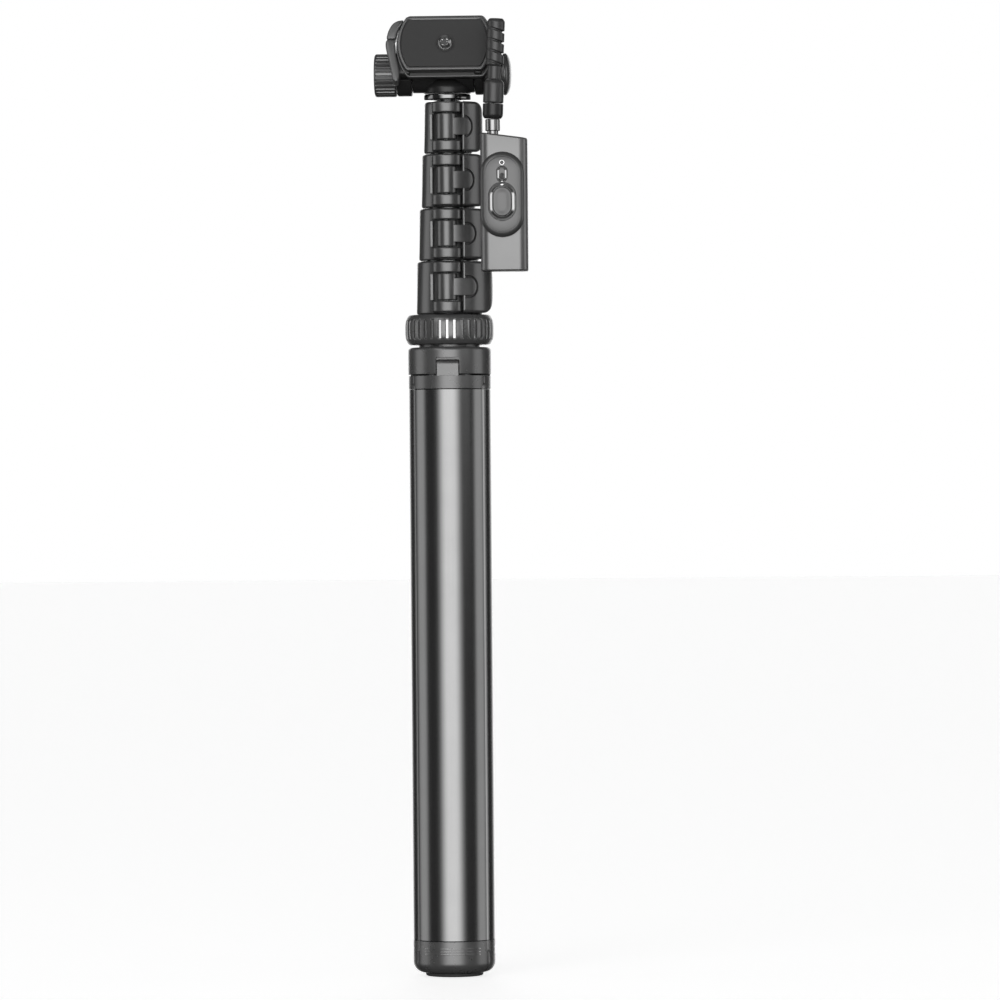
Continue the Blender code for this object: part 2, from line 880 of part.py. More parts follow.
def make_platform():
    left_high = barrel_left - cheek_gap
    left_low = left_high - left_cheek_width
    right_low = barrel_right + cheek_gap
    right_high = right_low + right_cheek_width
    front = platform_back + platform_thickness
    centre = (0, platform_rise)
    dish_centre = (0, platform_rise - platform_drop)
    dish = faced(
        [clipped_disc(platform_radius, platform_half_height, dish_centre, 16)], platform_back, front
    )
    seat = faced(
        [
            clipped_disc(
                plate_radius + plate_drop_clearance,
                plate_half_height + plate_drop_clearance,
                centre,
                16,
            )
        ],
        front - plate_sink,
        front + 1 * mm,
    )
    well = faced([stadium(14 * mm, 14.2 * mm, centre)], platform_back - 1 * mm, front + 1 * mm)
    high = platform_rise + lever_above
    side = -platform_radius - lever_proud
    lever_space = box(
        (side - 1 * mm, -front - 1 * mm, high - plate_lever_length - gap),
        (side + plate_lever_width + gap, -platform_back + 1 * mm, high + gap),
    )
    body = join(
        dish,
        cheek(left_low, left_high, cheek_radius),
        cheek(right_low, right_high, cheek_radius - 0.4 * mm),
    )
    bore = cylinder(
        bolt_radius + pin_clearance, left_low - 1 * mm, right_high + 1 * mm, coarse, "X", (0, 0)
    )
    body = cut(body, seat, well, lever_space, bore)
    body.transform(platform_frame())
    add_part("tilt_platform", body, "satin_plastic", (0, 0, tilt_z))
    return left_low, right_high


def make_plate_lever():
    """The quick-release lever lies along the platform's left side, on a pin near its top."""
    front = platform_back + platform_thickness
    left = -platform_radius - lever_proud
    lever_centre = (0, platform_rise - platform_drop)
    shape = clipped_disc(platform_radius + lever_proud, platform_half_height, lever_centre, 16)
    high = platform_rise + lever_above
    pin = lever_pin_inset
    window = box(
        (left - 1 * mm, -front - 4 * mm, high - plate_lever_length),
        (left + plate_lever_width, -platform_back, high),
    )
    reach = plate_radius + lever_plate_clearance
    plate_room = faced(
        [clipped_disc(reach, plate_half_height + lever_plate_clearance, (0, platform_rise), 16)],
        front - plate_sink,
        front + 5 * mm,
    )
    lever = common(faced([shape], platform_back + 0.4 * mm, front + lever_forward), window)
    lever = cut(lever, plate_room)
    lever.transform(platform_frame())
    middle = -(platform_back + front) / 2
    pivot = platform_frame() @ Vector((left + pin, middle, high - pin))
    add_part("plate_lever", lever, "remote_grey", pivot)


def make_plate():
    front = platform_back + platform_thickness - plate_sink + gap
    face = front + plate_thickness
    centre = (0, platform_rise)
    plate = faced([clipped_disc(plate_radius, plate_half_height, centre, 16)], front, face)
    recess = faced(
        [clipped_disc(plate_radius - pad_inset, plate_half_height - pad_inset, centre, 16)],
        face - pad_recess,
        face + 1 * mm,
    )
    hole = cylinder(screw_radius + 0.4 * mm, -face - 1 * mm, -front + 1 * mm, 24, "Y", centre)
    flange_hole = cylinder(
        screw_flange_radius + gap, -front - screw_flange_height - gap, -front + 1 * mm, 24, "Y", centre
    )
    plate = cut(plate, recess, hole, flange_hole)
    plate.transform(platform_frame())
    add_part("camera_plate", plate, "satin_plastic", (0, 0, tilt_z))

    inset = pad_inset + 0.25 * mm
    pad = faced(
        [
            clipped_disc(plate_radius - inset, plate_half_height - inset, centre, 16),
            [
                (x, z + platform_rise)
                for x, z in (polar(screw_radius + 1.2 * mm, -2 * math.pi * i / 24) for i in range(24))
            ],
        ],
        face - pad_recess + 0.2 * mm,
        face + pad_proud,
    )
    pad.transform(platform_frame())
    add_part("camera_plate_pad", pad, "rubber", (0, 0, tilt_z))

    stud = cylinder(screw_radius, -face - screw_stands_out, -front - 0.5 * mm, 24, "Y", centre)
    flange = cylinder(
        screw_flange_radius, -front - screw_flange_height, -front, 24, "Y", centre
    )
    screw = join(stud, flange)
    screw.transform(platform_frame())
    pivot = platform_frame() @ Vector((0, -face, platform_rise))
    add_part("camera_screw", screw, "chrome", pivot)


def make_tilt_clamp(left_low, bracket_high):
    """The knob on the left end of the bolt and the cap over its head on the right."""
    knob_high = left_low - cheek_gap
    knob_low = knob_high - knob_width
    knob = turned(
        [
            (0.0, knob_high),
            (knob_radius - knob_edge, knob_high),
            (knob_radius, knob_high - knob_edge),
            (knob_radius, knob_low + knob_edge),
            (knob_radius - knob_edge, knob_low),
            (0.0, knob_low),
        ],
        round_sides,
        closed=False,
    )
    knob.transform(Matrix.Translation((0, 0, tilt_z)) @ Matrix.Rotation(math.pi / 2, 4, "Y"))
    bore = cylinder(
        bolt_radius + pin_clearance, knob_low + 4 * mm, knob_high + 1 * mm, coarse, "X", (0, tilt_z)
    )
    add_part("tilt_knob", cut(knob, bore), "dark_plastic", (knob_high, 0, tilt_z))

    shaft = cylinder(
        bolt_radius, knob_low + 4 * mm + gap, bracket_high + gap + 0.5 * mm, coarse, "X", (0, tilt_z)
    )
    head = cylinder(
        bolt_head_radius,
        bracket_high + gap,
        bracket_high + gap + bolt_head_height,
        6,
        "X",
        (0, tilt_z),
    )
    add_part("tilt_bolt", join(shaft, head), "steel", (0, 0, tilt_z))

    low = bracket_high + gap
    high = low + end_cap_width
    cap = turned(
        [
            (0.0, high),
            (end_cap_radius * 0.55, high - 0.4 * mm),
            (end_cap_radius * 0.85, high - 1.5 * mm),
            (end_cap_radius, high - 3 * mm),
            (end_cap_radius, low),
            (0.0, low),
        ],
        round_sides,
        closed=False,
    )
    cap.transform(Matrix.Translation((0, 0, tilt_z)) @ Matrix.Rotation(math.pi / 2, 4, "Y"))
    pocket = cylinder(
        bolt_head_radius + gap, low - 1 * mm, low + bolt_head_height + 2 * gap, 24, "X", (0, tilt_z)
    )
    add_part("tilt_end_cap", cut(cap, pocket), "dark_plastic", (low, 0, tilt_z))


# ---------------------------------------------------------------- handle and remote

socket_low = tilt_z - socket_drop
collar_low = socket_low - gap - collar_height
remote_top = collar_low - sleeve_length


def leaning(mesh):
    """Leans a shape that was made upright about the point where the rod leaves the sleeve."""
    pivot = Vector((handle_x, handle_y, collar_low))
    turn = Matrix.Rotation(handle_lean, 4, "Y")
    mesh.transform(Matrix.Translation(pivot) @ turn @ Matrix.Translation(-pivot))
    return mesh


def make_handle(right_low):
    centre = (handle_x, handle_y)
    socket_high = socket_low + socket_height
    grip_low = socket_high + gap
    grip_high = grip_low + grip_length

    bracket_high = right_low + bracket_width
    disc = cylinder(cheek_radius - 0.4 * mm, right_low, bracket_high, round_sides, "X", (0, tilt_z))
    arm = box(
        (handle_x - arm_width / 2, handle_y, socket_low + arm_rise),
        (handle_x + arm_width / 2, -2 * mm, socket_low + arm_rise + arm_height),
    )
    socket = leaning(cylinder(collar_radius, socket_low, socket_high, coarse, "Z", centre))
    rod_hole = leaning(
        cylinder(rod_radius + gap, socket_low - 1 * mm, socket_high + 1 * mm, coarse, "Z", centre)
    )
    bolt_hole = cylinder(
        bolt_radius + pin_clearance, right_low - 1 * mm, bracket_high + 1 * mm, coarse, "X", (0, tilt_z)
    )
    bracket = cut(join(disc, arm, socket), rod_hole, bolt_hole)
    add_part("handle_bracket", bracket, "satin_plastic", (0, 0, tilt_z))

    collar = leaning(
        cylinder(collar_radius - 0.9 * mm, collar_low, socket_low - gap, 24, "Z", centre, collar_radius)
    )
    collar = cut(
        collar,
        leaning(cylinder(rod_radius + gap, collar_low - 1 * mm, socket_low + 1 * mm, coarse, "Z", centre)),
    )
    add_part("handle_collar", collar, "dark_plastic")

    sleeve_top = collar_low - 2 * gap
    sleeve = cylinder(sleeve_radius, remote_top + gap, sleeve_top, 24, "Z", centre)
    spigot = cylinder(spigot_radius, remote_top - spigot_length, sleeve_top - 1 * mm, coarse, "Z", centre)
    rod = leaning(
        cylinder(rod_radius, sleeve_top - 1.5 * mm, grip_high - 3 * mm, coarse, "Z", centre)
    )
    add_part("handle_rod", join(sleeve, spigot, rod), "grey_metal")

    profile = [(rod_radius + gap, grip_low), (grip_radius - 0.5 * mm, grip_low)]
    first = grip_high - 7.2 * mm - grip_pitch * (grip_grooves - 1)
    profile.append((grip_radius, grip_low + 0.5 * mm))
    for index in range(grip_grooves):
        z = first + grip_pitch * index
        profile += [
            (grip_radius, z - grip_groove / 2),
            (grip_radius - grip_groove, z),
            (grip_radius, z + grip_groove / 2),
        ]
    profile += [
        (grip_radius, grip_high - 1 * mm),
        (grip_radius - 1 * mm, grip_high),
        (rod_radius + gap, grip_high),
    ]
    grip = turned(profile, 16)
    grip.transform(Matrix.Translation((handle_x, handle_y, 0)))
    add_part("handle_grip", leaning(grip), "rubber")
    return bracket_high


def remote_body(low, high, inset=0.0):
    outline = rounded_rectangle(
        remote_width - 2 * inset,
        remote_depth - 2 * inset,
        remote_corner - inset,
        (remote_x, handle_y),
        8,
    )
    return prism([outline], low, high)


remote_x = handle_x + remote_offset
remote_low = remote_top - remote_height
bezel_z = (remote_low + remote_top) / 2 + bezel_above_middle
bezel_x = remote_x - 0.7 * mm
front_face = handle_y - remote_depth / 2
shutter_z = bezel_z - shutter_drop
switch_z = bezel_z + switch_rise
lens_z = bezel_z + lens_rise
bezel_back = front_face - gap
bezel_front = bezel_back - bezel_proud


def remote_halves():
    shell = remote_body(remote_low, remote_top - gap)
    half = remote_width / 2
    slope = math.atan2(remote_slant, remote_width)
    wedge = box((-2 * half, -half, 0), (2 * half, half, half))
    wedge.transform(
        Matrix.Translation((remote_x - half, handle_y, remote_top - gap)) @ Matrix.Rotation(slope, 4, "Y")
    )
    cavity = box(
        (remote_x - half + remote_wall, handle_y - remote_depth / 2 + remote_wall, remote_low + remote_wall),
        (remote_x + half - remote_wall, handle_y + remote_depth / 2 - remote_wall, remote_top - 14 * mm),
    )
    socket_floor = remote_top - spigot_length - gap
    socket = cylinder(
        spigot_radius + gap, socket_floor, remote_top + 5 * mm, coarse, "Z", (handle_x, handle_y)
    )
    shell = cut(shell, wedge, cavity, socket)
    reach = 30 * mm
    low, high = remote_low - reach, remote_top + reach
    left, right = remote_x - reach, remote_x + reach
    ahead = box((left, handle_y - reach, low), (right, handle_y - gap / 2, high))
    behind = box((left, handle_y + gap / 2, low), (right, handle_y + reach, high))
    return common(shell.copy(), ahead), common(shell, behind)


def make_remote():
    front, back = remote_halves()
    window = prism(
        [stadium(shutter_width - 5 * mm, shutter_height - 6 * mm, (bezel_x, shutter_z))],
        front_face - 1 * mm,
        front_face + remote_wall + 1 * mm,
        "Y",
    )
    pivot = (handle_x, handle_y, remote_top)
    add_part("remote_front_shell", cut(front, window), "remote_grey", pivot)
    add_part("remote_back_shell", back, "remote_grey", pivot)

    clear = part_clearance
    bezel = prism(
        [
            stadium(bezel_width, bezel_height, (bezel_x, bezel_z), 10),
            stadium(shutter_width + 2 * clear, shutter_height + 2 * clear, (bezel_x, shutter_z)),
            stadium(
                switch_width + 2 * clear,
                switch_height + switch_travel + 2 * clear,
                (bezel_x, switch_z),
            ),
            [
                (bezel_x + x, lens_z + z)
                for x, z in (polar(lens_radius + clear, 2 * math.pi * i / 12) for i in range(12))
            ],
        ],
        bezel_front,
        bezel_back,
        "Y",
    )
    add_part("remote_bezel", bezel, "remote_grey", pivot)

    wall = shutter_ring_wall
    ring = prism(
        [
            stadium(shutter_width, shutter_height, (bezel_x, shutter_z)),
            stadium(shutter_width - 2 * wall, shutter_height - 2 * wall, (bezel_x, shutter_z)),
        ],
        bezel_front - gap,
        bezel_back - gap,
        "Y",
    )
    add_part("shutter_ring", ring, "chrome", pivot)
    inside = wall + clear
    button = prism(
        [stadium(shutter_width - 2 * inside, shutter_height - 2 * inside, (bezel_x, shutter_z))],
        bezel_front - button_proud,
        bezel_back - shutter_travel - gap,
        "Y",
    )
    add_part("shutter_button", button, "remote_grey", (bezel_x, bezel_front, shutter_z))
    switch = prism(
        [stadium(switch_width, switch_height, (bezel_x, switch_z - switch_travel / 2))],
        bezel_front - gap,
        bezel_back - gap,
        "Y",
    )
    add_part("power_switch", switch, "chrome", (bezel_x, bezel_front, switch_z))
    lens = cylinder(lens_radius, bezel_front - gap, bezel_back - gap, 12, "Y", (bezel_x, lens_z))
    add_part("status_lens", lens, "lens", (bezel_x, bezel_front, lens_z))

    board_y = front_face + remote_wall + 2 * mm
    middle = (remote_low + remote_wall + remote_top - 14 * mm) / 2
    board = box(
        (remote_x - board_width / 2, board_y, middle - board_height / 2),
        (remote_x + board_width / 2, board_y + board_thickness, middle + board_height / 2),
    )
    add_part("remote_circuit_board", board, "board", pivot)
    cell_y = board_y + board_thickness + gap
    cell = cylinder(
        cell_radius, cell_y, cell_y + cell_thickness, medium, "Y", (remote_x, middle - 10 * mm)
    )
    add_part("remote_coin_cell", cell, "steel", pivot)


# ---------------------------------------------------------------- assembly

clear_scene()
parts = new_collection("selfie_stick")
cutters = new_collection("cutters")
made_materials = {name: make_material(name) for name in materials}

make_legs()
make_hub()
make_column_clamp()
make_tubes()
make_locks()
make_pan_base()
cheek_left, cheek_right = make_platform()
make_plate_lever()
make_plate()
bracket_end = make_handle(cheek_right + gap)
make_tilt_clamp(cheek_left, bracket_end)
make_remote()
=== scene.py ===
import json
import math

import bmesh
import bpy
import numpy as np
from mathutils import Matrix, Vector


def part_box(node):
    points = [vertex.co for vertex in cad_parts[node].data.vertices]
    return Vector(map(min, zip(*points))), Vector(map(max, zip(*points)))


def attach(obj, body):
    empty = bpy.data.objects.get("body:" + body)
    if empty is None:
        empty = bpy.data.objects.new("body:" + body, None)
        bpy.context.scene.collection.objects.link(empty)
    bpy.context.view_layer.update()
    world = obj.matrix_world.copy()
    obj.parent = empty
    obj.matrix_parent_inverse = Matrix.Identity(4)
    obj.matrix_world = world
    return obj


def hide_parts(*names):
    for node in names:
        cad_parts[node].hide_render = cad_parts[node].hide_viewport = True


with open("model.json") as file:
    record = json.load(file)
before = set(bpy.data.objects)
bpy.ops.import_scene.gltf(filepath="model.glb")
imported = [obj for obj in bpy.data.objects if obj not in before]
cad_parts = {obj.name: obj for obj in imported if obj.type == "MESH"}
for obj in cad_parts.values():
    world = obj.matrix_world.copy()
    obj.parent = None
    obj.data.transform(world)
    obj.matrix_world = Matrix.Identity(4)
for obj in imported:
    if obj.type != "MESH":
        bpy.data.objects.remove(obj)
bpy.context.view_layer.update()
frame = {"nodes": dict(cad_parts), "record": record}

# The looks of a folded selfie stick: each solid of the frame gets a finished surface in its place.
# Lengths are metres. The front is -Y, the stick's axis is Z, and angles are counted from the front
# towards +X.

mm = 0.001
turnFull = 2 * math.pi
joints = {j["name"]: j for j in frame["record"]["behaviour"]["joints"]}
scene = bpy.context.scene
scene.view_settings.view_transform = "Standard"


# Reading the frame.

# the two opposite corners of a node's box
def spanOf(node):
    low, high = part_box(node)
    return np.array(low), np.array(high)


# where a node's box starts and ends in height
def heightsOf(node):
    low, high = spanOf(node)
    return low[2], high[2]


# the point half way between the two corners
def middleOf(node):
    low, high = spanOf(node)
    return (low + high) / 2


# Curves and outlines are arrays of points, one row each.

# 0 below a, 1 above b, and a smooth S between them
def smoothStep(a, b, x):
    t = np.clip((x - a) / (b - a), 0, 1)
    return t * t * (3 - 2 * t)


# points on a circle about the axis, from one angle to another
def arcPoints(radius, start, end, count):
    angle = np.linspace(start, end, count)
    return np.stack([radius * np.sin(angle), -radius * np.cos(angle)], axis=1)


cornerSteps = 6


# each corner becomes a parabola that touches both its sides at most `radius` from the corner
def roundCorners(points, radius, steps=cornerSteps):
    points = np.asarray(points, float)
    before, after = np.roll(points, 1, axis=0), np.roll(points, -1, axis=0)
    toBefore, toAfter = before - points, after - points
    lengthBefore = np.linalg.norm(toBefore, axis=1, keepdims=True)
    lengthAfter = np.linalg.norm(toAfter, axis=1, keepdims=True)
    reach = np.broadcast_to(np.asarray(radius, float).reshape(-1, 1), lengthBefore.shape)
    reach = np.minimum(reach, 0.49 * np.minimum(lengthBefore, lengthAfter))
    startPoint = points + toBefore / lengthBefore * reach
    endPoint = points + toAfter / lengthAfter * reach
    t = np.linspace(0, 1, steps)[None, :, None]
    curve = (
        (1 - t) ** 2 * startPoint[:, None] + 2 * t * (1 - t) * points[:, None] + t**2 * endPoint[:, None]
    )
    return curve.reshape(-1, 2)


# a solid turned piece's profile: the rounded corners, with flat ends that run in to the axis
def solidProfile(corners, reach):
    near = 0.1 * mm
    ends = [(near, corners[0][1]), *corners, (near, corners[-1][1])]
    return roundCorners(ends, reach)[cornerSteps:-cornerSteps]


# a hoop's section of (out, up): an upright wall whose top may slope from its inner to its outer side
def wallSection(half, base, outerTop, innerTop, reach):
    return roundCorners([(-half, base), (half, base), (half, outerTop), (-half, innerTop)], reach)


# the closed outline again, as `count` points an equal way apart along it
def evenly(points, count):
    loop = np.concatenate([points, points[:1]])
    along = np.concatenate([[0], np.cumsum(np.linalg.norm(np.diff(loop, axis=0), axis=1))])
    wanted = np.linspace(0, along[-1], count, endpoint=False)
    return np.stack([np.interp(wanted, along, loop[:, k]) for k in (0, 1)], axis=1)


# a box whose corners are parabolas that start 1.3 times the radius from them
def roundedBox(width, height, radius, count=96, centre=(0, 0)):
    x, y = width / 2, height / 2
    corners = np.array([(x, -y), (x, y), (-x, y), (-x, -y)])
    return evenly(roundCorners(corners, radius * 1.3, steps=10) + np.array(centre), count)


# a circle of the given radius whose centre moves along the middle of the long side
def stadiumOutline(width, height, count=128, centre=(0, 0)):
    angle = np.linspace(0, turnFull, 4 * count, endpoint=False)
    x = width / 2 * np.cos(angle)
    y = width / 2 * np.sin(angle) + (height - width) / 2 * np.sign(np.sin(angle) + 1e-12)
    return evenly(np.stack([x, y], axis=1) + np.array(centre), count)


# distance outside (+) or inside (-) the stadium with that width and height
def stadiumDistance(x, y, width, height):
    straight = np.maximum(np.abs(y) - (height - width) / 2, 0)
    return np.hypot(x, straight) - width / 2


# a disc whose top and bottom are cut off flat, with its four corners rounded
def clippedDisc(radius, halfHeight, corner, count=160, centre=(0, 0)):
    limit = math.asin(halfHeight / radius)
    right = np.linspace(-limit, limit, 15)
    angle = np.concatenate([right, right + math.pi])
    points = radius * np.stack([np.cos(angle), np.sin(angle)], axis=1)
    reach = np.full(len(points), 0.05 * mm)
    reach[[0, 14, 15, 29]] = corner
    return evenly(roundCorners(points, reach) + np.array(centre), count)


# the outline moved in by `distance` along its own normals
def insetOutline(outline, distance):
    along = np.roll(outline, -1, axis=0) - np.roll(outline, 1, axis=0)
    along /= np.linalg.norm(along, axis=1, keepdims=True)
    area = np.sum(outline[:, 0] * np.roll(outline[:, 1], -1) - np.roll(outline[:, 0], -1) * outline[:, 1])
    inward = np.stack([-along[:, 1], along[:, 0]], axis=1) * np.sign(area)
    return outline + inward * distance


# Meshes are grids of points.

# rows of points, each row a closed loop, joined to the next row; the two ends close on their middle,
# or the last row joins the first, or each end is zipped between the loop's two halves
def gridMesh(name, rows, material, ends="middle"):
    rowCount, colCount = rows.shape[:2]
    points = rows.reshape(-1, 3)
    index = np.arange(rowCount * colCount).reshape(rowCount, colCount)
    if ends == "ring":
        index = np.concatenate([index, index[:1]])
    beside = np.roll(index, -1, axis=1)
    quads = np.stack([index[:-1], beside[:-1], beside[1:], index[1:]], axis=-1).reshape(-1, 4)
    faces = quads.tolist()
    if ends == "middle":
        base = len(points)
        points = np.concatenate([points, rows[:1].mean(axis=1), rows[-1:].mean(axis=1)])
        for middle, row in ((base, 0), (base + 1, -1)):
            fan = np.stack([index[row], beside[row], np.full(colCount, middle)], axis=-1)
            faces += fan.tolist()
    if ends == "zip":
        half = colCount // 2
        for row in (0, -1):
            loop = index[row]
            strip = np.stack([loop[: half - 1], loop[1:half], loop[::-1][1:half], loop[::-1][: half - 1]], -1)
            faces += strip.tolist()
    mesh = bpy.data.meshes.new(name)
    mesh.from_pydata(points.tolist(), [], faces)
    tidy = bmesh.new()
    tidy.from_mesh(mesh)
    bmesh.ops.remove_doubles(tidy, verts=tidy.verts, dist=1e-6)
    bmesh.ops.recalc_face_normals(tidy, faces=tidy.faces)
    tidy.to_mesh(mesh)
    tidy.free()
    mesh.materials.append(material)
    return mesh


# several meshes become one piece, riding on a body in place of the frame's nodes
def makePiece(name, meshes, body, nodes, sharpAngle=32):
    joined = bmesh.new()
    materials = []
    for mesh in meshes:
        shift = len(materials)
        first = len(joined.faces)
        materials += list(mesh.materials)
        joined.from_mesh(mesh)
        joined.faces.ensure_lookup_table()
        for face in joined.faces[first:]:
            face.material_index += shift
    whole = bpy.data.meshes.new(name)
    joined.to_mesh(whole)
    joined.free()
    for material in materials:
        whole.materials.append(material)
    whole.shade_smooth()
    whole.set_sharp_from_angle(angle=math.radians(sharpAngle))
    piece = bpy.data.objects.new(name, whole)
    scene.collection.objects.link(piece)
    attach(piece, body)
    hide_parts(*nodes)
    return piece


# the mesh with the others' shapes taken out of it
def cutAway(mesh, cutters):
    work = bpy.data.objects.new("work", mesh)
    scene.collection.objects.link(work)
    tools = []
    for cutter in cutters:
        tool = bpy.data.objects.new("cutter", cutter)
        scene.collection.objects.link(tool)
        tools.append(tool)
        step = work.modifiers.new("cut", "BOOLEAN")
        step.operation = "DIFFERENCE"
        step.solver = "EXACT"
        step.object = tool
    bpy.context.view_layer.update()
    graph = bpy.context.evaluated_depsgraph_get()
    result = bpy.data.meshes.new_from_object(work.evaluated_get(graph))
    for made in [work, *tools]:
        bpy.data.objects.remove(made, do_unlink=True)
    return result


# a profile of (radius, height) carried round an axis; field(angle, height) is added to the radius
def turnedMesh(name, profile, material, axis="Z", centre=(0, 0), sides=96, field=None, ends="middle"):
    profile = np.asarray(profile, float)
    angle = np.linspace(0, turnFull, sides, endpoint=False)[None, :]
    radius = profile[:, :1] * np.ones_like(angle)
    along = profile[:, 1:] * np.ones_like(angle)
    if field is not None:
        radius = radius + field(angle, along)
    side, front = radius * np.sin(angle), -radius * np.cos(angle)
    if axis == "X":
        rows = np.stack([along, centre[0] + side, centre[1] + front], axis=-1)
    else:
        rows = np.stack([centre[0] + side, centre[1] + front, along], axis=-1)
    return gridMesh(name, rows, material, ends)


# an outline carried from one depth to another, its edges rounded; the far face is made of rings that
# shrink to its middle, and field(u, v) is added to their depth
def slabMesh(name, outline, near, far, edge, material, place, rings=1, field=None, nearEdge=None):
    nearEdge = edge if nearEdge is None else nearEdge
    bend = np.linspace(0, math.pi / 2, 6)
    rows = []

    def addRow(line, depth):
        rows.append(np.column_stack([line, np.broadcast_to(depth, len(line))]))

    for a in bend[::-1]:
        addRow(insetOutline(outline, nearEdge * (1 - math.cos(a))), near + nearEdge * (1 - math.sin(a)))
    for a in bend:
        addRow(insetOutline(outline, edge * (1 - math.cos(a))), far - edge * (1 - math.sin(a)))
    rim = insetOutline(outline, edge)
    middle = rim.mean(axis=0)
    for share in np.linspace(1, 0, rings + 1)[1:-1]:
        line = middle + (rim - middle) * share
        lift = 0 if field is None else field(line[:, 0], line[:, 1])
        addRow(line, far + lift)
    grid = np.array(rows)
    return gridMesh(name, place(grid.reshape(-1, 3)).reshape(grid.shape), material)


# a closed section of (out, up) points carried along a closed path that faces the front
def hoopMesh(name, path, section, material, place):
    along = np.roll(path, -1, axis=0) - np.roll(path, 1, axis=0)
    along /= np.linalg.norm(along, axis=1, keepdims=True)
    outward = np.stack([along[:, 1], -along[:, 0]], axis=1)
    section = np.asarray(section, float)
    flat = path[None] + section[:, None, :1] * outward[None]
    depth = section[:, None, 1:] * np.ones((1, len(path), 1))
    rows = np.concatenate([flat, depth], axis=-1)
    return gridMesh(name, place(rows.reshape(-1, 3)).reshape(rows.shape), material, "ring")


# where a flat drawing of (across, up, out) goes
def facingUp(points):
    return points


def facingFront(points):
    return np.stack([points[:, 0], -points[:, 2], points[:, 1]], axis=1)


def facingRight(points):  # (front-to-back, up, right)
    return np.stack([points[:, 2], points[:, 0], points[:, 1]], axis=1)


def aroundAxis(points):  # (angle, up, radius)
    angle, up, radius = points.T
    return np.stack([radius * np.sin(angle), -radius * np.cos(angle), up], axis=1)


# points turned about the stick's axis
def turnAbout(points, turn):
    return points @ np.array(Matrix.Rotation(turn, 3, "Z")).T


# a plain round drum with rounded rims
def drumMesh(name, radius, start, end, reach, material, sides=128):
    return turnedMesh(name, solidProfile([(radius, start), (radius, end)], reach), material, "X",
                      (0, tiltZ), sides)


# Materials.

# an empty node group with its inputs, their first values and its outputs
def addGroup(name, inputs, outputs):
    group = bpy.data.node_groups.new(name, "ShaderNodeTree")
    for label, kind, value in inputs:
        socket = group.interface.new_socket(label, in_out="INPUT", socket_type=kind)
        if value is not None:
            socket.default_value = value
    for label, kind in outputs:
        group.interface.new_socket(label, in_out="OUTPUT", socket_type=kind)
    source, sink = group.nodes.new("NodeGroupInput"), group.nodes.new("NodeGroupOutput")
    source.location, sink.location = (-900, 0), (500, 0)
    return group, source, sink


# each input gets a value, or a link from another node's output
def feed(tree, node, **inputs):
    for key, value in inputs.items():
        socket = node.inputs[key.replace("_", " ")]
        if isinstance(value, bpy.types.NodeSocket):
            tree.links.new(value, socket)
        else:
            socket.default_value = value


# a node with its settings and its inputs
def addNode(tree, kind, settings=None, **inputs):
    node = tree.nodes.new(kind)
    for key, value in (settings or {}).items():
        setattr(node, key, value)
    feed(tree, node, **inputs)
    return node


# one step of arithmetic on numbers or other nodes' outputs
def addMath(tree, operation, first, second=None, clamp=False):
    node = addNode(tree, "ShaderNodeMath", {"operation": operation, "use_clamp": clamp})
    for socket, value in zip(node.inputs, (first, second)):
        if value is None:
            continue
        if isinstance(value, (int, float)):
            socket.default_value = value
        else:
            tree.links.new(value, socket)
    return node.outputs[0]


# fine moulded texture: two sizes of noise, as a height and as a small change of roughness
def makeGrainGroup():
    number = "NodeSocketFloat"
    group, source, sink = addGroup(
        "moulded grain",
        [("Position", "NodeSocketVector", None), ("Size", number, 2500.0), ("Patches", number, 60.0),
         ("Roughness", number, 0.4), ("Variation", number, 0.08)],
        [("Height", number), ("Roughness", number), ("Patches", number)],
    )
    given = source.outputs
    fine, broad = (
        addNode(group, "ShaderNodeTexNoise", Vector=given["Position"], Scale=given[size], Detail=detail,
                Roughness=rough).outputs["Fac"]
        for size, detail, rough in (("Size", 3.0, 0.55), ("Patches", 4.0, 0.6))
    )
    swing = addMath(group, "MULTIPLY", addMath(group, "SUBTRACT", broad, 0.5), given["Variation"])
    swing = addMath(group, "MULTIPLY", swing, 2.0)
    total = addMath(group, "ADD", swing, given["Roughness"], clamp=True)
    feed(group, sink, Height=fine, Patches=broad, Roughness=total)
    return group


# rubbed edges: where a rounded-off normal leaves the true one, broken up by noise
def makeWearGroup():
    number = "NodeSocketFloat"
    group, source, sink = addGroup(
        "edge wear",
        [("Position", "NodeSocketVector", None), ("Width", number, 0.4 * mm), ("Amount", number, 0.5)],
        [("Mask", number)],
    )
    given = source.outputs
    bevel = addNode(group, "ShaderNodeBevel", {"samples": 4}, Radius=given["Width"])
    dot = addNode(group, "ShaderNodeVectorMath", {"operation": "DOT_PRODUCT"})
    group.links.new(bevel.outputs["Normal"], dot.inputs[0])
    group.links.new(addNode(group, "ShaderNodeNewGeometry").outputs["Normal"], dot.inputs[1])
    away = addMath(group, "SUBTRACT", 1.0, dot.outputs["Value"])
    away = addMath(group, "MULTIPLY", away, 9.0, clamp=True)
    noise = addNode(group, "ShaderNodeTexNoise", Vector=given["Position"], Scale=420.0, Detail=5.0,
                    Roughness=0.7)
    broken = addNode(group, "ShaderNodeMapRange", From_Min=0.42, From_Max=0.62, Value=noise.outputs["Fac"])
    mask = addMath(group, "MULTIPLY", away, broken.outputs["Result"])
    feed(group, sink, Mask=addMath(group, "MULTIPLY", mask, given["Amount"], clamp=True))
    return group


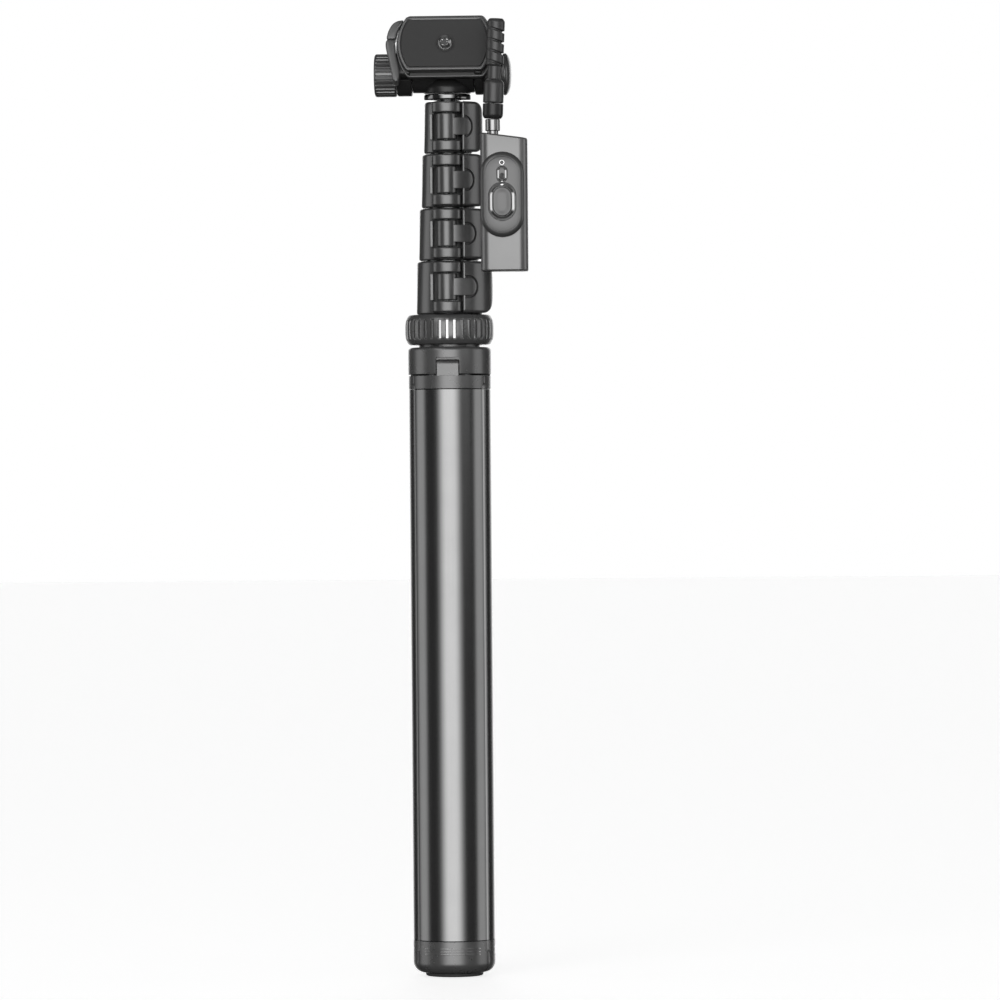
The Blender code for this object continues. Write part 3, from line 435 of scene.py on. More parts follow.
# drawn lines along the stick: noise stretched a hundred times upwards
def makeDrawnGroup():
    number = "NodeSocketFloat"
    group, source, sink = addGroup(
        "drawn lines",
        [("Position", "NodeSocketVector", None), ("Size", number, 1500.0), ("Roughness", number, 0.25),
         ("Variation", number, 0.1)],
        [("Height", number), ("Roughness", number)],
    )
    given = source.outputs
    stretch = addNode(group, "ShaderNodeVectorMath", {"operation": "MULTIPLY"})
    stretch.inputs[1].default_value = (1.0, 1.0, 0.01)
    group.links.new(given["Position"], stretch.inputs[0])
    noise = addNode(group, "ShaderNodeTexNoise", Vector=stretch.outputs["Vector"], Scale=given["Size"],
                    Detail=4.0, Roughness=0.6).outputs["Fac"]
    swing = addMath(group, "MULTIPLY", addMath(group, "SUBTRACT", noise, 0.5), given["Variation"])
    feed(group, sink, Height=noise, Roughness=addMath(group, "ADD", swing, given["Roughness"], clamp=True))
    return group


grainGroup = makeGrainGroup()
wearGroup = makeWearGroup()
drawnGroup = makeDrawnGroup()


# a copy of a group inside another tree
def addGroupNode(tree, group, **inputs):
    return addNode(tree, "ShaderNodeGroup", {"node_tree": group}, **inputs)


# one finish: base colour mottled by broad noise, lighter where its edges are rubbed, grain or drawn
# lines in its roughness and its bump
def makeFinish(name, colour, roughness, metallic=0.0, grain=2500.0, variation=0.06, bump=0.15,
               bumpDepth=0.04 * mm, mottle=0.12, wear=0.4, wearColour=None, drawn=False, coat=0.0,
               specular=0.5):
    material = bpy.data.materials.new(name)
    material.use_nodes = True
    material.diffuse_color = (*colour, 1.0)
    tree = material.node_tree
    position = addNode(tree, "ShaderNodeTexCoord").outputs["Object"]
    lines = {"Position": position, "Size": grain, "Roughness": roughness, "Variation": variation}
    moulded = addGroupNode(tree, grainGroup, **lines)
    rubbed = addGroupNode(tree, wearGroup, Position=position, Amount=wear)
    surface = addGroupNode(tree, drawnGroup, **lines) if drawn else moulded

    base = np.array(colour, float)
    dark, light = base * (1 - mottle), np.minimum(base * (1 + mottle), 1.0)
    bare = wearColour or tuple(np.minimum(base * 1.6 + 0.03, 1.0))
    colours = {"data_type": "RGBA"}
    shades = addNode(tree, "ShaderNodeMix", colours, A=(*dark, 1.0), B=(*light, 1.0),
                     Factor=moulded.outputs["Patches"])
    worn = addNode(tree, "ShaderNodeMix", colours, A=shades.outputs["Result"], B=(*bare, 1.0),
                   Factor=rubbed.outputs["Mask"])
    relief = addNode(tree, "ShaderNodeBump", Strength=bump, Distance=bumpDepth,
                     Height=surface.outputs["Height"])
    feed(tree, tree.nodes["Principled BSDF"], Metallic=metallic, Coat_Weight=coat, Coat_Roughness=0.1,
         Specular_IOR_Level=specular, Base_Color=worn.outputs["Result"],
         Roughness=surface.outputs["Roughness"], Normal=relief.outputs["Normal"])
    return material


# the same share of red, green and blue
def grey(value):
    return (value, value, value)


casePlastic = makeFinish("casePlastic", grey(0.22), 0.27, metallic=0.5, wear=0.2, bump=0.2, mottle=0.08)
lockPlastic = makeFinish("lockPlastic", grey(0.195), 0.25, metallic=0.55, bump=0.18, mottle=0.08)
darkPlastic = makeFinish("darkPlastic", grey(0.045), 0.3, metallic=0.2, bump=0.25)
legMetal = makeFinish(
    "legMetal", grey(0.27), 0.22, metallic=1.0, grain=1800.0, variation=0.10, bump=0.05,
    mottle=0.06, wear=0.25, wearColour=grey(0.45), drawn=True,
)
tubeMetal = makeFinish(
    "tubeMetal", grey(0.36), 0.22, metallic=1.0, grain=2200.0, variation=0.12, bump=0.06,
    mottle=0.05, wear=0.3, wearColour=grey(0.6), drawn=True,
)
mirrorBlack = makeFinish(
    "mirrorBlack", grey(0.26), 0.06, metallic=1.0, variation=0.03, bump=0.01, mottle=0.03, wear=0.2,
)
brightChrome = makeFinish(
    "brightChrome", grey(0.86), 0.07, metallic=1.0, variation=0.05, bump=0.02, mottle=0.02, wear=0.1,
    wearColour=grey(0.95),
)
plainSteel = makeFinish(
    "plainSteel", grey(0.3), 0.25, metallic=1.0, variation=0.1, bump=0.1, mottle=0.06, wear=0.2,
)
softRubber = makeFinish(
    "softRubber", grey(0.075), 0.6, grain=3200.0, bump=0.45, bumpDepth=0.00006, mottle=0.1, wear=0.25,
    specular=0.4,
)
gripRubber = makeFinish(
    "gripRubber", grey(0.11), 0.34, metallic=0.3, grain=3200.0, bump=0.3, mottle=0.1, wear=0.3,
)
platePlastic = makeFinish("platePlastic", grey(0.20), 0.3, metallic=0.4, bump=0.18, mottle=0.08)
remotePlastic = makeFinish("remotePlastic", grey(0.285), 0.32, metallic=0.6, bump=0.15, mottle=0.03)
pebblePlastic = makeFinish("pebblePlastic", grey(0.17), 0.3, metallic=0.5, bump=0.12, mottle=0.05)
slotMetal = makeFinish("slotMetal", grey(0.6), 0.16, metallic=1.0, bump=0.05, mottle=0.04, wear=0.0)
lensClear = makeFinish("lensClear", grey(0.03), 0.15, bump=0.05, mottle=0.03, wear=0.1, coat=0.5)
boardGreen = makeFinish("boardGreen", (0.02, 0.12, 0.05), 0.4, bump=0.2, mottle=0.2)


# Legs.

legs = {
    "count": 3,
    "edgeChamfer": 1.5 * mm,
    "endChamfer": 0.35 * mm,
    "chamferRun": 2.2 * mm,  # height over which the chamfer runs out
    "chamferLow": 13.0 * mm,
    "chamferHigh": 309.0 * mm,
    "sideGap": 0.4 * mm,
    "footFillet": 5.6 * mm,
    "lineHeights": [12.1 * mm, 13.5 * mm, 15.0 * mm],
    "lineWidth": 0.75 * mm,
    "lineReach": math.radians(42),
    "lineProud": 0.12 * mm,
    "lineDeep": 0.4 * mm,
    "rim": 0.25 * mm,
    "gap": 0.25 * mm,  # between the panel and the plug or the foot
    "core": 0.3 * mm,
    "inner": 13.7 * mm,
    "soleRound": 1.0 * mm,
}


# a 120 degree sector: the outer arc, then the inner one back; its two long edges are cut by the
# chamfer, and no point is further out than the limit
def legLoop(outer, inner, chamfer, limit):
    side = legs["sideGap"] / 2

    def half(radius):
        return math.pi / 3 - side / radius

    edge = np.array([half(outer) - chamfer / outer, half(outer - chamfer)])
    edgePoints = arcPoints(outer, edge[0], edge[0], 1)
    cornerPoints = arcPoints(outer - chamfer, edge[1], edge[1], 1)
    t = np.linspace(0, 1, 5)[:, None]
    middle = (edgePoints + cornerPoints) / 2 + 0.12 * chamfer * edgePoints / outer
    curve = (1 - t) ** 2 * edgePoints + 2 * t * (1 - t) * middle + t**2 * cornerPoints
    outside = arcPoints(outer, -edge[0], edge[0], 47)[1:-1]
    outerHalf = np.concatenate([(curve * (-1, 1))[::-1], outside, curve])
    count = len(outerHalf)
    innerEnd = half(max(inner, 8 * mm))
    innerHalf = arcPoints(max(inner, legs["core"]), innerEnd, -innerEnd, count)
    loop = np.concatenate([outerHalf, innerHalf])
    reach = np.linalg.norm(loop, axis=1, keepdims=True)
    return loop * np.minimum(1, limit / np.maximum(reach, 1e-9))


# the chamfer's width at a height: a quarter circle up from the end value, and down again
def legChamfer(z):
    low, high, run = legs["chamferLow"], legs["chamferHigh"], legs["chamferRun"]
    inside = min(1.0, max(0.0, (z - low) / run), max(0.0, (high - z) / run))
    share = math.sqrt(max(0.0, 1 - (1 - inside) ** 2))
    return legs["endChamfer"] + (legs["edgeChamfer"] - legs["endChamfer"]) * share


# loops at the given heights, each with the chamfer of its height and the limit of its place
def legMesh(name, heights, limits, inner, material, turn):
    rows = []
    for z, limit in zip(heights, limits):
        loop = legLoop(legOuter, inner, legChamfer(z), limit)
        rows.append(np.column_stack([loop, np.full(len(loop), z)]))
    return gridMesh(name, turnAbout(np.array(rows), turn), material, "zip")


legOuter = -spanOf("leg_1_tube")[0][1]
tubeLow, tubeHigh = heightsOf("leg_1_tube")
footLow = heightsOf("leg_1_foot")[0]
padHigh = heightsOf("leg_1_pad")[1]
padReach = -spanOf("leg_1_pad")[0][1]
pinZ = joints["leg_1_fold"]["pos_m"][2]
capHigh = heightsOf("leg_hub")[0] - 0.7 * mm
lugTop = heightsOf("leg_1_cap")[1]


# heights between two levels, close together wherever the chamfer starts or ends
def chamferHeights(low, high):
    run = legs["chamferRun"]
    marks = []
    for start in (legs["chamferLow"], legs["chamferHigh"] - run):
        marks += list(np.linspace(start, start + run, 9))
    inside = [z for z in marks if low + 0.1 * mm < z < high - 0.1 * mm]
    return [low, *inside, high]


# heights and limits that round an edge off by a quarter circle, from the lowest point up
def roundedEdge(low, reach, fillet, count):
    bend = np.linspace(math.pi / 2, 0, count)
    return list(low + fillet * (1 - np.sin(bend))), list(reach - fillet * (1 - np.cos(bend)))


# from the top down: the plug with its lug, the panel, the foot with its bright lines, and the sole
def makeLeg(number):
    turn = turnFull * (number - 1) / legs["count"]
    body = f"leg_{number}"
    free, rim = 2 * legOuter, legs["rim"]
    rimLimits = [legOuter - rim, legOuter - rim * 0.15]

    def rounded(low, high):
        inside = chamferHeights(low, high)[1:-1]
        heights = [low, low + rim / 2, *inside, high - rim / 2, high]
        return heights, [*rimLimits, *[free] * len(inside), *rimLimits[::-1]]

    panel = legMesh(f"{body}_panel", *rounded(tubeLow, tubeHigh), legs["inner"], legMetal, turn)
    makePiece(f"{body}_panel", [panel], body, [f"{body}_tube"])
    plug = legMesh(f"{body}_end", *rounded(tubeHigh + legs["gap"], capHigh), legs["inner"], casePlastic, turn)
    makePiece(f"{body}_end", [plug, lugMesh(turn)], body, [f"{body}_cap"])

    top = tubeLow - legs["gap"]
    heights, limits = roundedEdge(footLow, legOuter, legs["footFillet"], 12)
    inside = chamferHeights(heights[-1], top)[1:-1]
    heights += [*inside, top - rim / 2, top]
    limits += [*[free] * len(inside), *rimLimits[::-1]]
    foot = legMesh(f"{body}_foot", heights, limits, legs["core"], casePlastic, turn)
    lines = [bandMesh(body, z, turn) for z in legs["lineHeights"]]
    makePiece(f"{body}_shoe", [foot, *lines], body, [f"{body}_foot"])

    heights, limits = roundedEdge(0, padReach, legs["soleRound"], 8)
    sole = legMesh(f"{body}_sole", heights + [padHigh], limits + [padReach], legs["core"], softRubber, turn)
    makePiece(f"{body}_sole", [sole], body, [f"{body}_pad"])


# a thin bright band let into the foot: a long narrow stadium bent round the leg
def bandMesh(name, z, turn):
    length = 2 * legs["lineReach"] * legOuter
    outline = stadiumOutline(legs["lineWidth"], length, 160)[::-1, ::-1] + (0, z)

    def place(points):
        bent = points.copy()
        bent[:, 0] = points[:, 0] / legOuter + turn
        return aroundAxis(bent)

    proud = legs["lineProud"]
    return slabMesh(name, outline, legOuter - legs["lineDeep"], legOuter + proud, proud, brightChrome, place)


lug = {"width": 11.7 * mm, "depth": 5.6 * mm, "front": 0.5 * mm, "brow": 3.4 * mm, "nape": 2.2 * mm}


# the lug's side view, carried across its width
def lugMesh(turn):
    front = -(legOuter - lug["front"])
    back = front + lug["depth"]
    low = capHigh - 0.5 * mm
    corners = [(front, low), (back, low), (back, lugTop), (front, lugTop)]
    outline = evenly(roundCorners(corners, [0.2 * mm, 0.2 * mm, lug["nape"], lug["brow"]], steps=10), 96)
    half = lug["width"] / 2
    return slabMesh(
        "lug", outline, -half, half, 0.5 * mm, casePlastic, lambda p: turnAbout(facingRight(p), turn)
    )


for number in (1, 2, 3):
    makeLeg(number)
print("legs made")


# Leg hub and column clamp.

hub = {"neckHeight": 8.0 * mm, "neckRadius": 15.9 * mm, "fillet": 1.5 * mm, "notchWidth": 12.3 * mm,
       "notchBack": 15.1 * mm, "notchRise": 3.9 * mm, "bore": 13.3 * mm}


# a stepped ring of (radius, height) corners, less one round-topped notch for each leg's lug
def makeHub():
    low, neckTop = heightsOf("leg_hub")
    radius = spanOf("leg_hub")[1][0]
    top = neckTop - hub["neckHeight"]
    corners = [(hub["bore"], low), (radius, low), (radius, top), (hub["neckRadius"], top),
               (hub["neckRadius"], neckTop), (hub["bore"], neckTop)]
    reach = np.array([0.2, 0.35, hub["fillet"] / mm * 1.3, 0.3, 0.4, 0.2]) * mm
    body = turnedMesh("hub", roundCorners(corners, reach), casePlastic, sides=192, ends="ring")
    half, roof = hub["notchWidth"] / 2, pinZ + hub["notchRise"]
    floor = low - 3 * mm
    notch = roundCorners(
        [(half, floor), (half, roof), (-half, roof), (-half, floor)], [0.1 * mm, 1.0 * mm, 1.0 * mm, 0.1 * mm]
    )
    cutters = []
    for number in range(legs["count"]):
        turn = turnFull * number / legs["count"]
        cutters.append(
            slabMesh("notch", notch, hub["notchBack"], radius + 3 * mm, 0.05 * mm, casePlastic,
                     lambda p, turn=turn: turnAbout(facingFront(p), turn))
        )
    makePiece("leg_crown", [cutAway(body, cutters)], "hub", ["leg_hub"])


ring = {"flutes": 36, "slotWidth": 1.5 * mm, "slotDepth": 1.5 * mm, "slotLow": 3.1 * mm,
        "slotHigh": 12.5 * mm, "bulge": 2.0 * mm, "bore": 16.4 * mm}


# a barrel whose radius falls off with the 3.4th power of the distance from its middle, with upright
# slots that a bright lining shows through
def makeRing():
    low, high = heightsOf("column_lock_ring")
    radius = spanOf("column_lock_ring")[1][0]
    z = np.linspace(low, high, 64)
    off = np.abs(2 * (z - low) / (high - low) - 1)
    outer = radius - ring["bulge"] * off**3.4
    outer[[0, -1]] -= 0.5 * mm
    outer[[1, -2]] -= 0.15 * mm
    profile = np.column_stack([outer, z])
    profile = np.concatenate([profile, [(ring["bore"], high), (ring["bore"], low)]])
    step = turnFull / ring["flutes"]

    def slots(angle, height):
        away = np.abs((angle + step / 2) % step - step / 2) * radius
        across = 1 - smoothStep(0.36, 0.56, away / ring["slotWidth"])
        ends = smoothStep(-0.5 * mm, 0.3 * mm, height - low - ring["slotLow"])
        ends = ends * smoothStep(-0.5 * mm, 0.3 * mm, low + ring["slotHigh"] - height)
        return -ring["slotDepth"] * across * ends

    body = turnedMesh("ring", profile, casePlastic, sides=ring["flutes"] * 22, field=slots, ends="ring")
    inside = radius - ring["slotDepth"] + 0.25 * mm
    slotLow, slotHigh = low + ring["slotLow"] - 0.6 * mm, low + ring["slotHigh"] + 0.6 * mm
    lining = roundCorners([(inside, slotLow), (inside, slotHigh), (inside - 2 * mm, slotHigh),
                           (inside - 2 * mm, slotLow)], 0.2 * mm)
    band = turnedMesh("lining", lining, slotMetal, sides=144, ends="ring")
    makePiece("lock_ring", [body, band], "lock_ring", ["column_lock_ring"], 40)


makeHub()
makeRing()
print("hub and ring made")


# Column.

column = {"wall": 0.8 * mm, "sides": 128}


# five plain tubes, one inside the other
def makeTubes():
    for number in range(1, 6):
        low, high = heightsOf(f"tube_{number}")
        radius = spanOf(f"tube_{number}")[1][0]
        inner = radius - column["wall"]
        profile = roundCorners([(radius, low), (radius, high), (inner, high), (inner, low)], 0.2 * mm)
        mesh = turnedMesh("tube", profile, tubeMetal, sides=column["sides"], ends="ring")
        makePiece(f"column_tube_{number}", [mesh], f"column_{number}", [f"tube_{number}"])


makeTubes()


# Flip locks.

lock = {
    "edge": 1.0 * mm,
    "taper": 0.9 * mm,
    "flat": 0.955,  # the flat on the left lies this share of the radius out
    "pinAhead": 1.5 * mm,
    "stripLeft": 8.9 * mm,
    "stripRight": 7.3 * mm,
    "bossHalf": 7.7 * mm,
    "bossDepth": 5.4 * mm,
    "middleShare": 0.52,
    "knuckle": 5.4 * mm,
    "leverInner": 0.9 * mm,
    "leverOuter": 5.6 * mm,
    "leverEnd": math.radians(89),
    "leverStart": 8.05 * mm,
    "corner": 10.0 * mm,
    "tab": 5.3 * mm,  # half the height of the tab that the groove outlines
    "tabEnd": 0.335,  # where the tab ends, as a share of the lever's length
    "groove": 0.6 * mm,
    "grooveDepth": 1.3 * mm,
    "gap": 0.2 * mm,
    "bossInset": 0.7 * mm,
}


# a boss that stands ahead of the collar: half an ellipse, then straight back into the collar
def bossOutline(radius, half, depth):
    angle = np.linspace(math.pi, turnFull, 33)
    pinY = -(radius + lock["pinAhead"])
    front = np.stack([half * np.cos(angle), pinY + depth * np.sin(angle)], axis=1)
    back = -radius * 0.78
    return np.concatenate([front, [(half, back), (-half, back)]])


# a tapered ring with a flat on its left, and two bosses that hold the pin between them
def makeCollar(number):
    node = f"lock_{number}_collar"
    low, high = heightsOf(node)
    radius = spanOf(node)[1][0]
    bore = spanOf(f"tube_{number}")[1][0] - 1.2 * mm
    middle, half = (low + high) / 2, (high - low) * lock["middleShare"] / 2
    edge = lock["edge"]
    corners = [(bore, low), (radius, low), (radius - lock["taper"], high), (bore, high)]
    profile = roundCorners(corners, [0.3 * mm, edge, edge * 1.3, 0.3 * mm])

    def flats(angle, height):
        limit = lock["flat"] * radius / np.maximum(-np.sin(angle), 1e-6)
        outward = radius - lock["taper"] * (height - low) / (high - low)
        return -np.maximum(outward - limit, 0) * (np.sin(angle) < -0.5)

    body = turnedMesh("collar", profile, lockPlastic, sides=480, field=flats, ends="ring")
    boss = evenly(bossOutline(radius, lock["bossHalf"], lock["bossDepth"]), 96)
    gap, inset = lock["gap"], lock["bossInset"]
    levels = ((middle + half + gap, high - inset), (low + inset, middle - half - gap))
    bosses = [slabMesh("boss", boss, *level, 0.8 * mm, lockPlastic, facingUp) for level in levels]
    left, right = -lock["stripLeft"], -lock["stripRight"]
    front, back = -(radius - 0.1 * mm), -radius * 0.72
    stripLine = roundCorners([(left, back), (left, front), (right, front), (right, back)], 0.35 * mm)
    strip = slabMesh("strip", evenly(stripLine, 64), middle - half + gap, middle + half - gap, 0.3 * mm,
                     casePlastic, facingUp)
    makePiece(f"collar_{number}", [body, *bosses, strip], f"column_{number}", [node])


# the lever: a curved shield with a tab outlined by a groove, an arm, and the knuckle on the pin
def makeLever(number):
    low, high = heightsOf(f"lock_{number}_lever")
    radius = spanOf(f"lock_{number}_collar")[1][0]
    inner, outer = radius + lock["leverInner"], radius + lock["leverOuter"]
    start = math.asin(lock["leverStart"] / outer)
    first, last = start * outer, lock["leverEnd"] * outer
    corners = [(last, low), (last, high), (first, high), (first, low)]
    outline = roundCorners(corners, np.array([lock["corner"], lock["corner"], 1.2 * mm, 1.2 * mm]) * 1.3,
                           steps=14)
    outline = evenly(outline, 420)
    middle = (low + high) / 2
    tabMiddle = first + (last - first) * lock["tabEnd"] - lock["tab"]

    def tabGroove(across, up):
        past = np.maximum(across - tabMiddle, 0)
        away = np.abs(np.hypot(past, up - middle) - lock["tab"])
        line = 1 - smoothStep(0.45, 1.0, away / lock["groove"])
        inTab = 1 - smoothStep(-0.5 * mm, 0.6 * mm, np.hypot(past, up - middle) - lock["tab"])
        return -lock["grooveDepth"] * line - 0.15 * mm * inTab

    def bent(points):
        around = points.copy()
        near = 1 - smoothStep(0, 7 * mm, np.abs(points[:, 0] - first))
        square = np.arcsin(lock["leverStart"] / points[:, 2]) - start
        around[:, 0] = points[:, 0] / outer + square * near
        return aroundAxis(around)

    shield = slabMesh("shield", outline, inner, outer, 1.6 * mm, lockPlastic, bent, 64, tabGroove, 0.5 * mm)
    half = (high - low + 0.6 * mm) * lock["middleShare"] / 2 - 0.25 * mm
    armHalf = lock["tab"] - lock["groove"] - 0.1 * mm
    turn = np.linspace(-math.pi / 2, math.pi / 2, 33)
    tip = np.stack([tabMiddle + armHalf * np.cos(turn), middle + armHalf * np.sin(turn)], axis=1)
    armLine = np.concatenate([tip, [(0.6 * mm, middle + armHalf), (0.6 * mm, middle - armHalf)]])
    armLine = evenly(armLine, 200)
    arm = slabMesh("arm", armLine, inner + 0.3 * mm, outer + 0.06 * mm, 0.35 * mm, lockPlastic, bent, 12)
    angle = np.linspace(0, turnFull, 72, endpoint=False)
    pinY = -(radius + lock["pinAhead"])
    circle = np.stack([lock["knuckle"] * np.cos(angle), pinY + lock["knuckle"] * np.sin(angle)], axis=1)
    knuckle = slabMesh("knuckle", circle, middle - half, middle + half, 0.6 * mm, lockPlastic, facingUp)
    makePiece(f"flip_lever_{number}", [shield, arm, knuckle], f"flip_{number}", [f"lock_{number}_lever"])


for number in (1, 2, 3, 4):
    makeCollar(number)
    makeLever(number)
print("flip locks made")


# Head.

tiltZ = joints["head_tilt"]["pos_m"][2]
plateNormal = np.array(joints["camera_plate_lift"]["axis"])
leanBack = math.atan2(plateNormal[2], -plateNormal[1])
headTurn = Matrix.Translation((0, 0, tiltZ)) @ Matrix.Rotation(-leanBack, 4, "X")

head = {
    "rise": 11.2 * mm,
    "dishBack": 11.6 * mm,
    "dishFront": 16.1 * mm,
    "rimFront": 18.5 * mm,
    "dishRadius": 25.6 * mm,
    "dishHalf": 16.5 * mm,
    "dishDrop": 1.0 * mm,
    "plateRadius": 24.4 * mm,
    "plateHalf": 14.5 * mm,
    "plateAside": -0.5 * mm,
    "plateBack": 16.4 * mm,
    "plateFace": 21.0 * mm,
    "padInset": 1.7 * mm,
    "padProud": 0.15 * mm,
    "cheekRadius": 11.0 * mm,
    "barrel": 9.4 * mm,
    "neckFoot": 12.4 * mm,
    "neckTaper": 3.4 * mm,
    "wall": 0.45 * mm,
    "bedDepth": 0.7 * mm,
    "dimple": 5.2 * mm,
    "dimpleDepth": 0.25 * mm,
    "ear": np.array([(17.0, 12.9), (26.4, 12.9), (27.0, 2.0), (26.0, -6.0), (17.0, -6.0)]) * mm,
}


# places given upright at the tilt axis, leaned back with the head
def onHead(x, y, z):
    return (np.column_stack([x, y, z, np.ones(len(x))]) @ np.array(headTurn).T)[:, :3]


# a drawing of (right, up, ahead) on the platform, put where the platform is
def onPlatform(points):
    return onHead(points[:, 0], -points[:, 2], points[:, 1] + head["rise"])


# a flat disc whose rim is rounded
def makePanDisc():
    low, high = heightsOf("pan_disc")
    radius = spanOf("pan_disc")[1][0]
    profile = solidProfile([(radius, high), (radius, low)], 0.9 * mm)
    mesh = turnedMesh("disc", profile, mirrorBlack, sides=128)
    makePiece("pan_disc_polished", [mesh], "column_5", ["pan_disc"])


# a neck that narrows upwards in an S into the barrel along the tilt axis
def makePanBase():
    low = heightsOf("pan_base")[0]
    left, right = spanOf("pan_base")[0][0], spanOf("pan_base")[1][0]
    z = np.linspace(low + 0.15 * mm, tiltZ, 24)
    rise = (z - low) / (tiltZ - low)
    neck = head["neckFoot"] - head["neckTaper"] * smoothStep(0.25, 1.0, rise)
    profile = np.column_stack([neck, z])
    profile[0, 0] -= 0.5 * mm
    collarMesh = turnedMesh("neck", profile, darkPlastic, sides=128)
    tube = drumMesh("barrel", head["barrel"], left, right, 0.6 * mm, darkPlastic)
    makePiece("pan_base_body", [collarMesh, tube], "pan_head", ["pan_base"])


# a disc round the tilt axis, and a rounded plate that joins it to the platform
def cheekMesh(low, high, radius):
    disc = drumMesh("cheek", radius, low, high, 0.9 * mm, darkPlastic)
    side = roundedBox(radius * 1.05 + head["dishBack"], radius * 1.5, 2.0 * mm)
    side = side + (-(head["dishBack"] + 0.2 * mm) / 2, radius * 0.28)

    def place(points):
        return onHead(points[:, 2], points[:, 0], points[:, 1])

    web = slabMesh("web", side, low + 0.3 * mm, high - 0.3 * mm, 0.8 * mm, darkPlastic, place)
    return [disc, web]


# a clipped dish with a rim, the lever's guard, an ear behind the handle, and a cheek at each side
def makePlatform():
    barrelLeft, barrelRight = spanOf("pan_base")[0][0], spanOf("pan_base")[1][0]
    left = spanOf("tilt_knob")[1][0] + 0.3 * mm
    right = spanOf("handle_bracket")[0][0] - 0.3 * mm
    outline = clippedDisc(head["dishRadius"], head["dishHalf"], 4.5 * mm) - (0, head["dishDrop"])
    dish = slabMesh("dish", outline, head["dishBack"], head["dishFront"], 1.0 * mm, darkPlastic, onPlatform,
                    nearEdge=2.6 * mm)
    top = head["rimFront"]
    section = wallSection(head["wall"], head["dishFront"] - 0.5 * mm, top, top, 0.35 * mm)
    rim = hoopMesh("rim", insetOutline(outline, head["wall"]), section, platePlastic, onPlatform)
    ear = slabMesh("ear", evenly(roundCorners(head["ear"], 2.5 * mm), 140), head["dishBack"],
                   head["dishFront"], 0.9 * mm, darkPlastic, onPlatform)
    cheeks = cheekMesh(left, barrelLeft - 0.3 * mm, head["cheekRadius"])
    cheeks += cheekMesh(barrelRight + 0.3 * mm, right, head["cheekRadius"] - 0.4 * mm)
    makePiece("tilt_platform_body", [dish, rim, guardMesh(), ear, *cheeks], "tilt_head", ["tilt_platform"])


# the fixed guard above the quick-release lever, on the platform's upper left
def guardMesh():
    outline = evenly(roundCorners(np.array(release["guard"]) * mm, 1.6 * mm), 140)
    return slabMesh("guard", outline, head["dishBack"], head["rimFront"] + 1.2 * mm, 0.9 * mm, platePlastic,
                    onPlatform)


release = {
    "guard": [(-30.9, 2.7), (-29.8, 7.4), (-27.8, 11.0), (-25.1, 12.8), (-21.6, 13.2), (-22.4, 11.0),
              (-24.6, 8.0), (-25.9, 2.7)],
    "outline": [(-30.9, 2.2), (-31.1, -1.5), (-29.7, -7.8), (-28.3, -14.2), (-27.3, -19.6), (-25.8, -21.0),
                (-24.3, -20.2), (-23.7, -17.0), (-24.1, -12.5), (-25.2, -8.0), (-26.0, -3.5), (-26.1, 2.2)],
    "back": 12.4 * mm,
    "front": 21.4 * mm,
}


# the curved quick-release lever at the plate's left
def makeRelease():
    corners = np.array(release["outline"]) * mm
    outline = evenly(roundCorners(corners, 2.2 * mm, steps=8), 180)
    lever = slabMesh("lever", outline, release["back"], release["front"], 1.0 * mm, platePlastic, onPlatform)
    makePiece("release_lever", [lever], "plate_lever", ["plate_lever"])


# a clipped disc with a sunk bed, and the pad in it with a shallow round dimple at the screw
def makePlate():
    outline = clippedDisc(head["plateRadius"], head["plateHalf"], 3.0 * mm, 240) + (head["plateAside"], 0)
    inset = head["padInset"]
    bed = head["plateHalf"] - inset

    def recess(across, up):
        aside = np.hypot(across - head["plateAside"], up)
        edge = np.maximum(np.abs(up) - bed, aside - (head["plateRadius"] - inset))
        return -head["bedDepth"] * (1 - smoothStep(-0.25 * mm, 0.05 * mm, edge))

    plate = slabMesh("plate", outline, head["plateBack"], head["plateFace"], 0.7 * mm, platePlastic,
                     onPlatform, 40, recess)
    makePiece("camera_plate_body", [plate], "camera_plate", ["camera_plate"])
    padLine = clippedDisc(head["plateRadius"] - inset - 0.25 * mm, bed - 0.25 * mm, 2.4 * mm, 240)
    padLine = padLine + (head["plateAside"], 0)

    def dimple(across, up):
        return -head["dimpleDepth"] * (1 - smoothStep(0.8, 1.0, np.hypot(across, up) / head["dimple"]))

    face = head["plateFace"]
    pad = slabMesh("pad", padLine, face - 0.6 * mm, face + head["padProud"], 0.25 * mm, softRubber,
                   onPlatform, 60, dimple)
    makePiece("plate_pad", [pad], "camera_plate", ["camera_plate_pad"])


screw = {"radius": 3.175 * mm, "pitch": 1.27 * mm, "depth": 0.36 * mm, "out": 4.9 * mm, "collar": 3.6 * mm}


# a stud whose radius rises and falls once a pitch and once round: one helix, with a chamfered end
def makeScrew():
    face = head["plateFace"]
    low, high = face - 0.4 * mm, face + screw["out"]
    z = np.linspace(low, high, 90)
    radius = screw["radius"] - screw["depth"] / 2 - 0.9 * mm * smoothStep(high - 0.9 * mm, high, z)
    profile = np.column_stack([radius, z])
    profile = np.concatenate([profile, [(1.5 * mm, high), (1.2 * mm, high - 0.5 * mm)]])

    def thread(angle, height):
        wave = np.cos(turnFull * height / screw["pitch"] - angle)
        there = smoothStep(low + 0.5 * mm, low + 1.2 * mm, height) * smoothStep(0, 0.4 * mm, high - height)
        return screw["depth"] / 2 * wave * there

    stud = turnedMesh("stud", profile, brightChrome, sides=72, field=thread)
    rim = [(screw["collar"], face + 0.35 * mm), (screw["collar"], face - 0.3 * mm)]
    flange = turnedMesh("washer", solidProfile(rim, 0.2 * mm), plainSteel, sides=72)
    out = headTurn @ Matrix.Translation((0, 0, head["rise"])) @ Matrix.Rotation(math.pi / 2, 4, "X")
    for mesh in (stud, flange):
        mesh.transform(out)
    makePiece("plate_screw", [stud, flange], "camera_screw", ["camera_screw"])


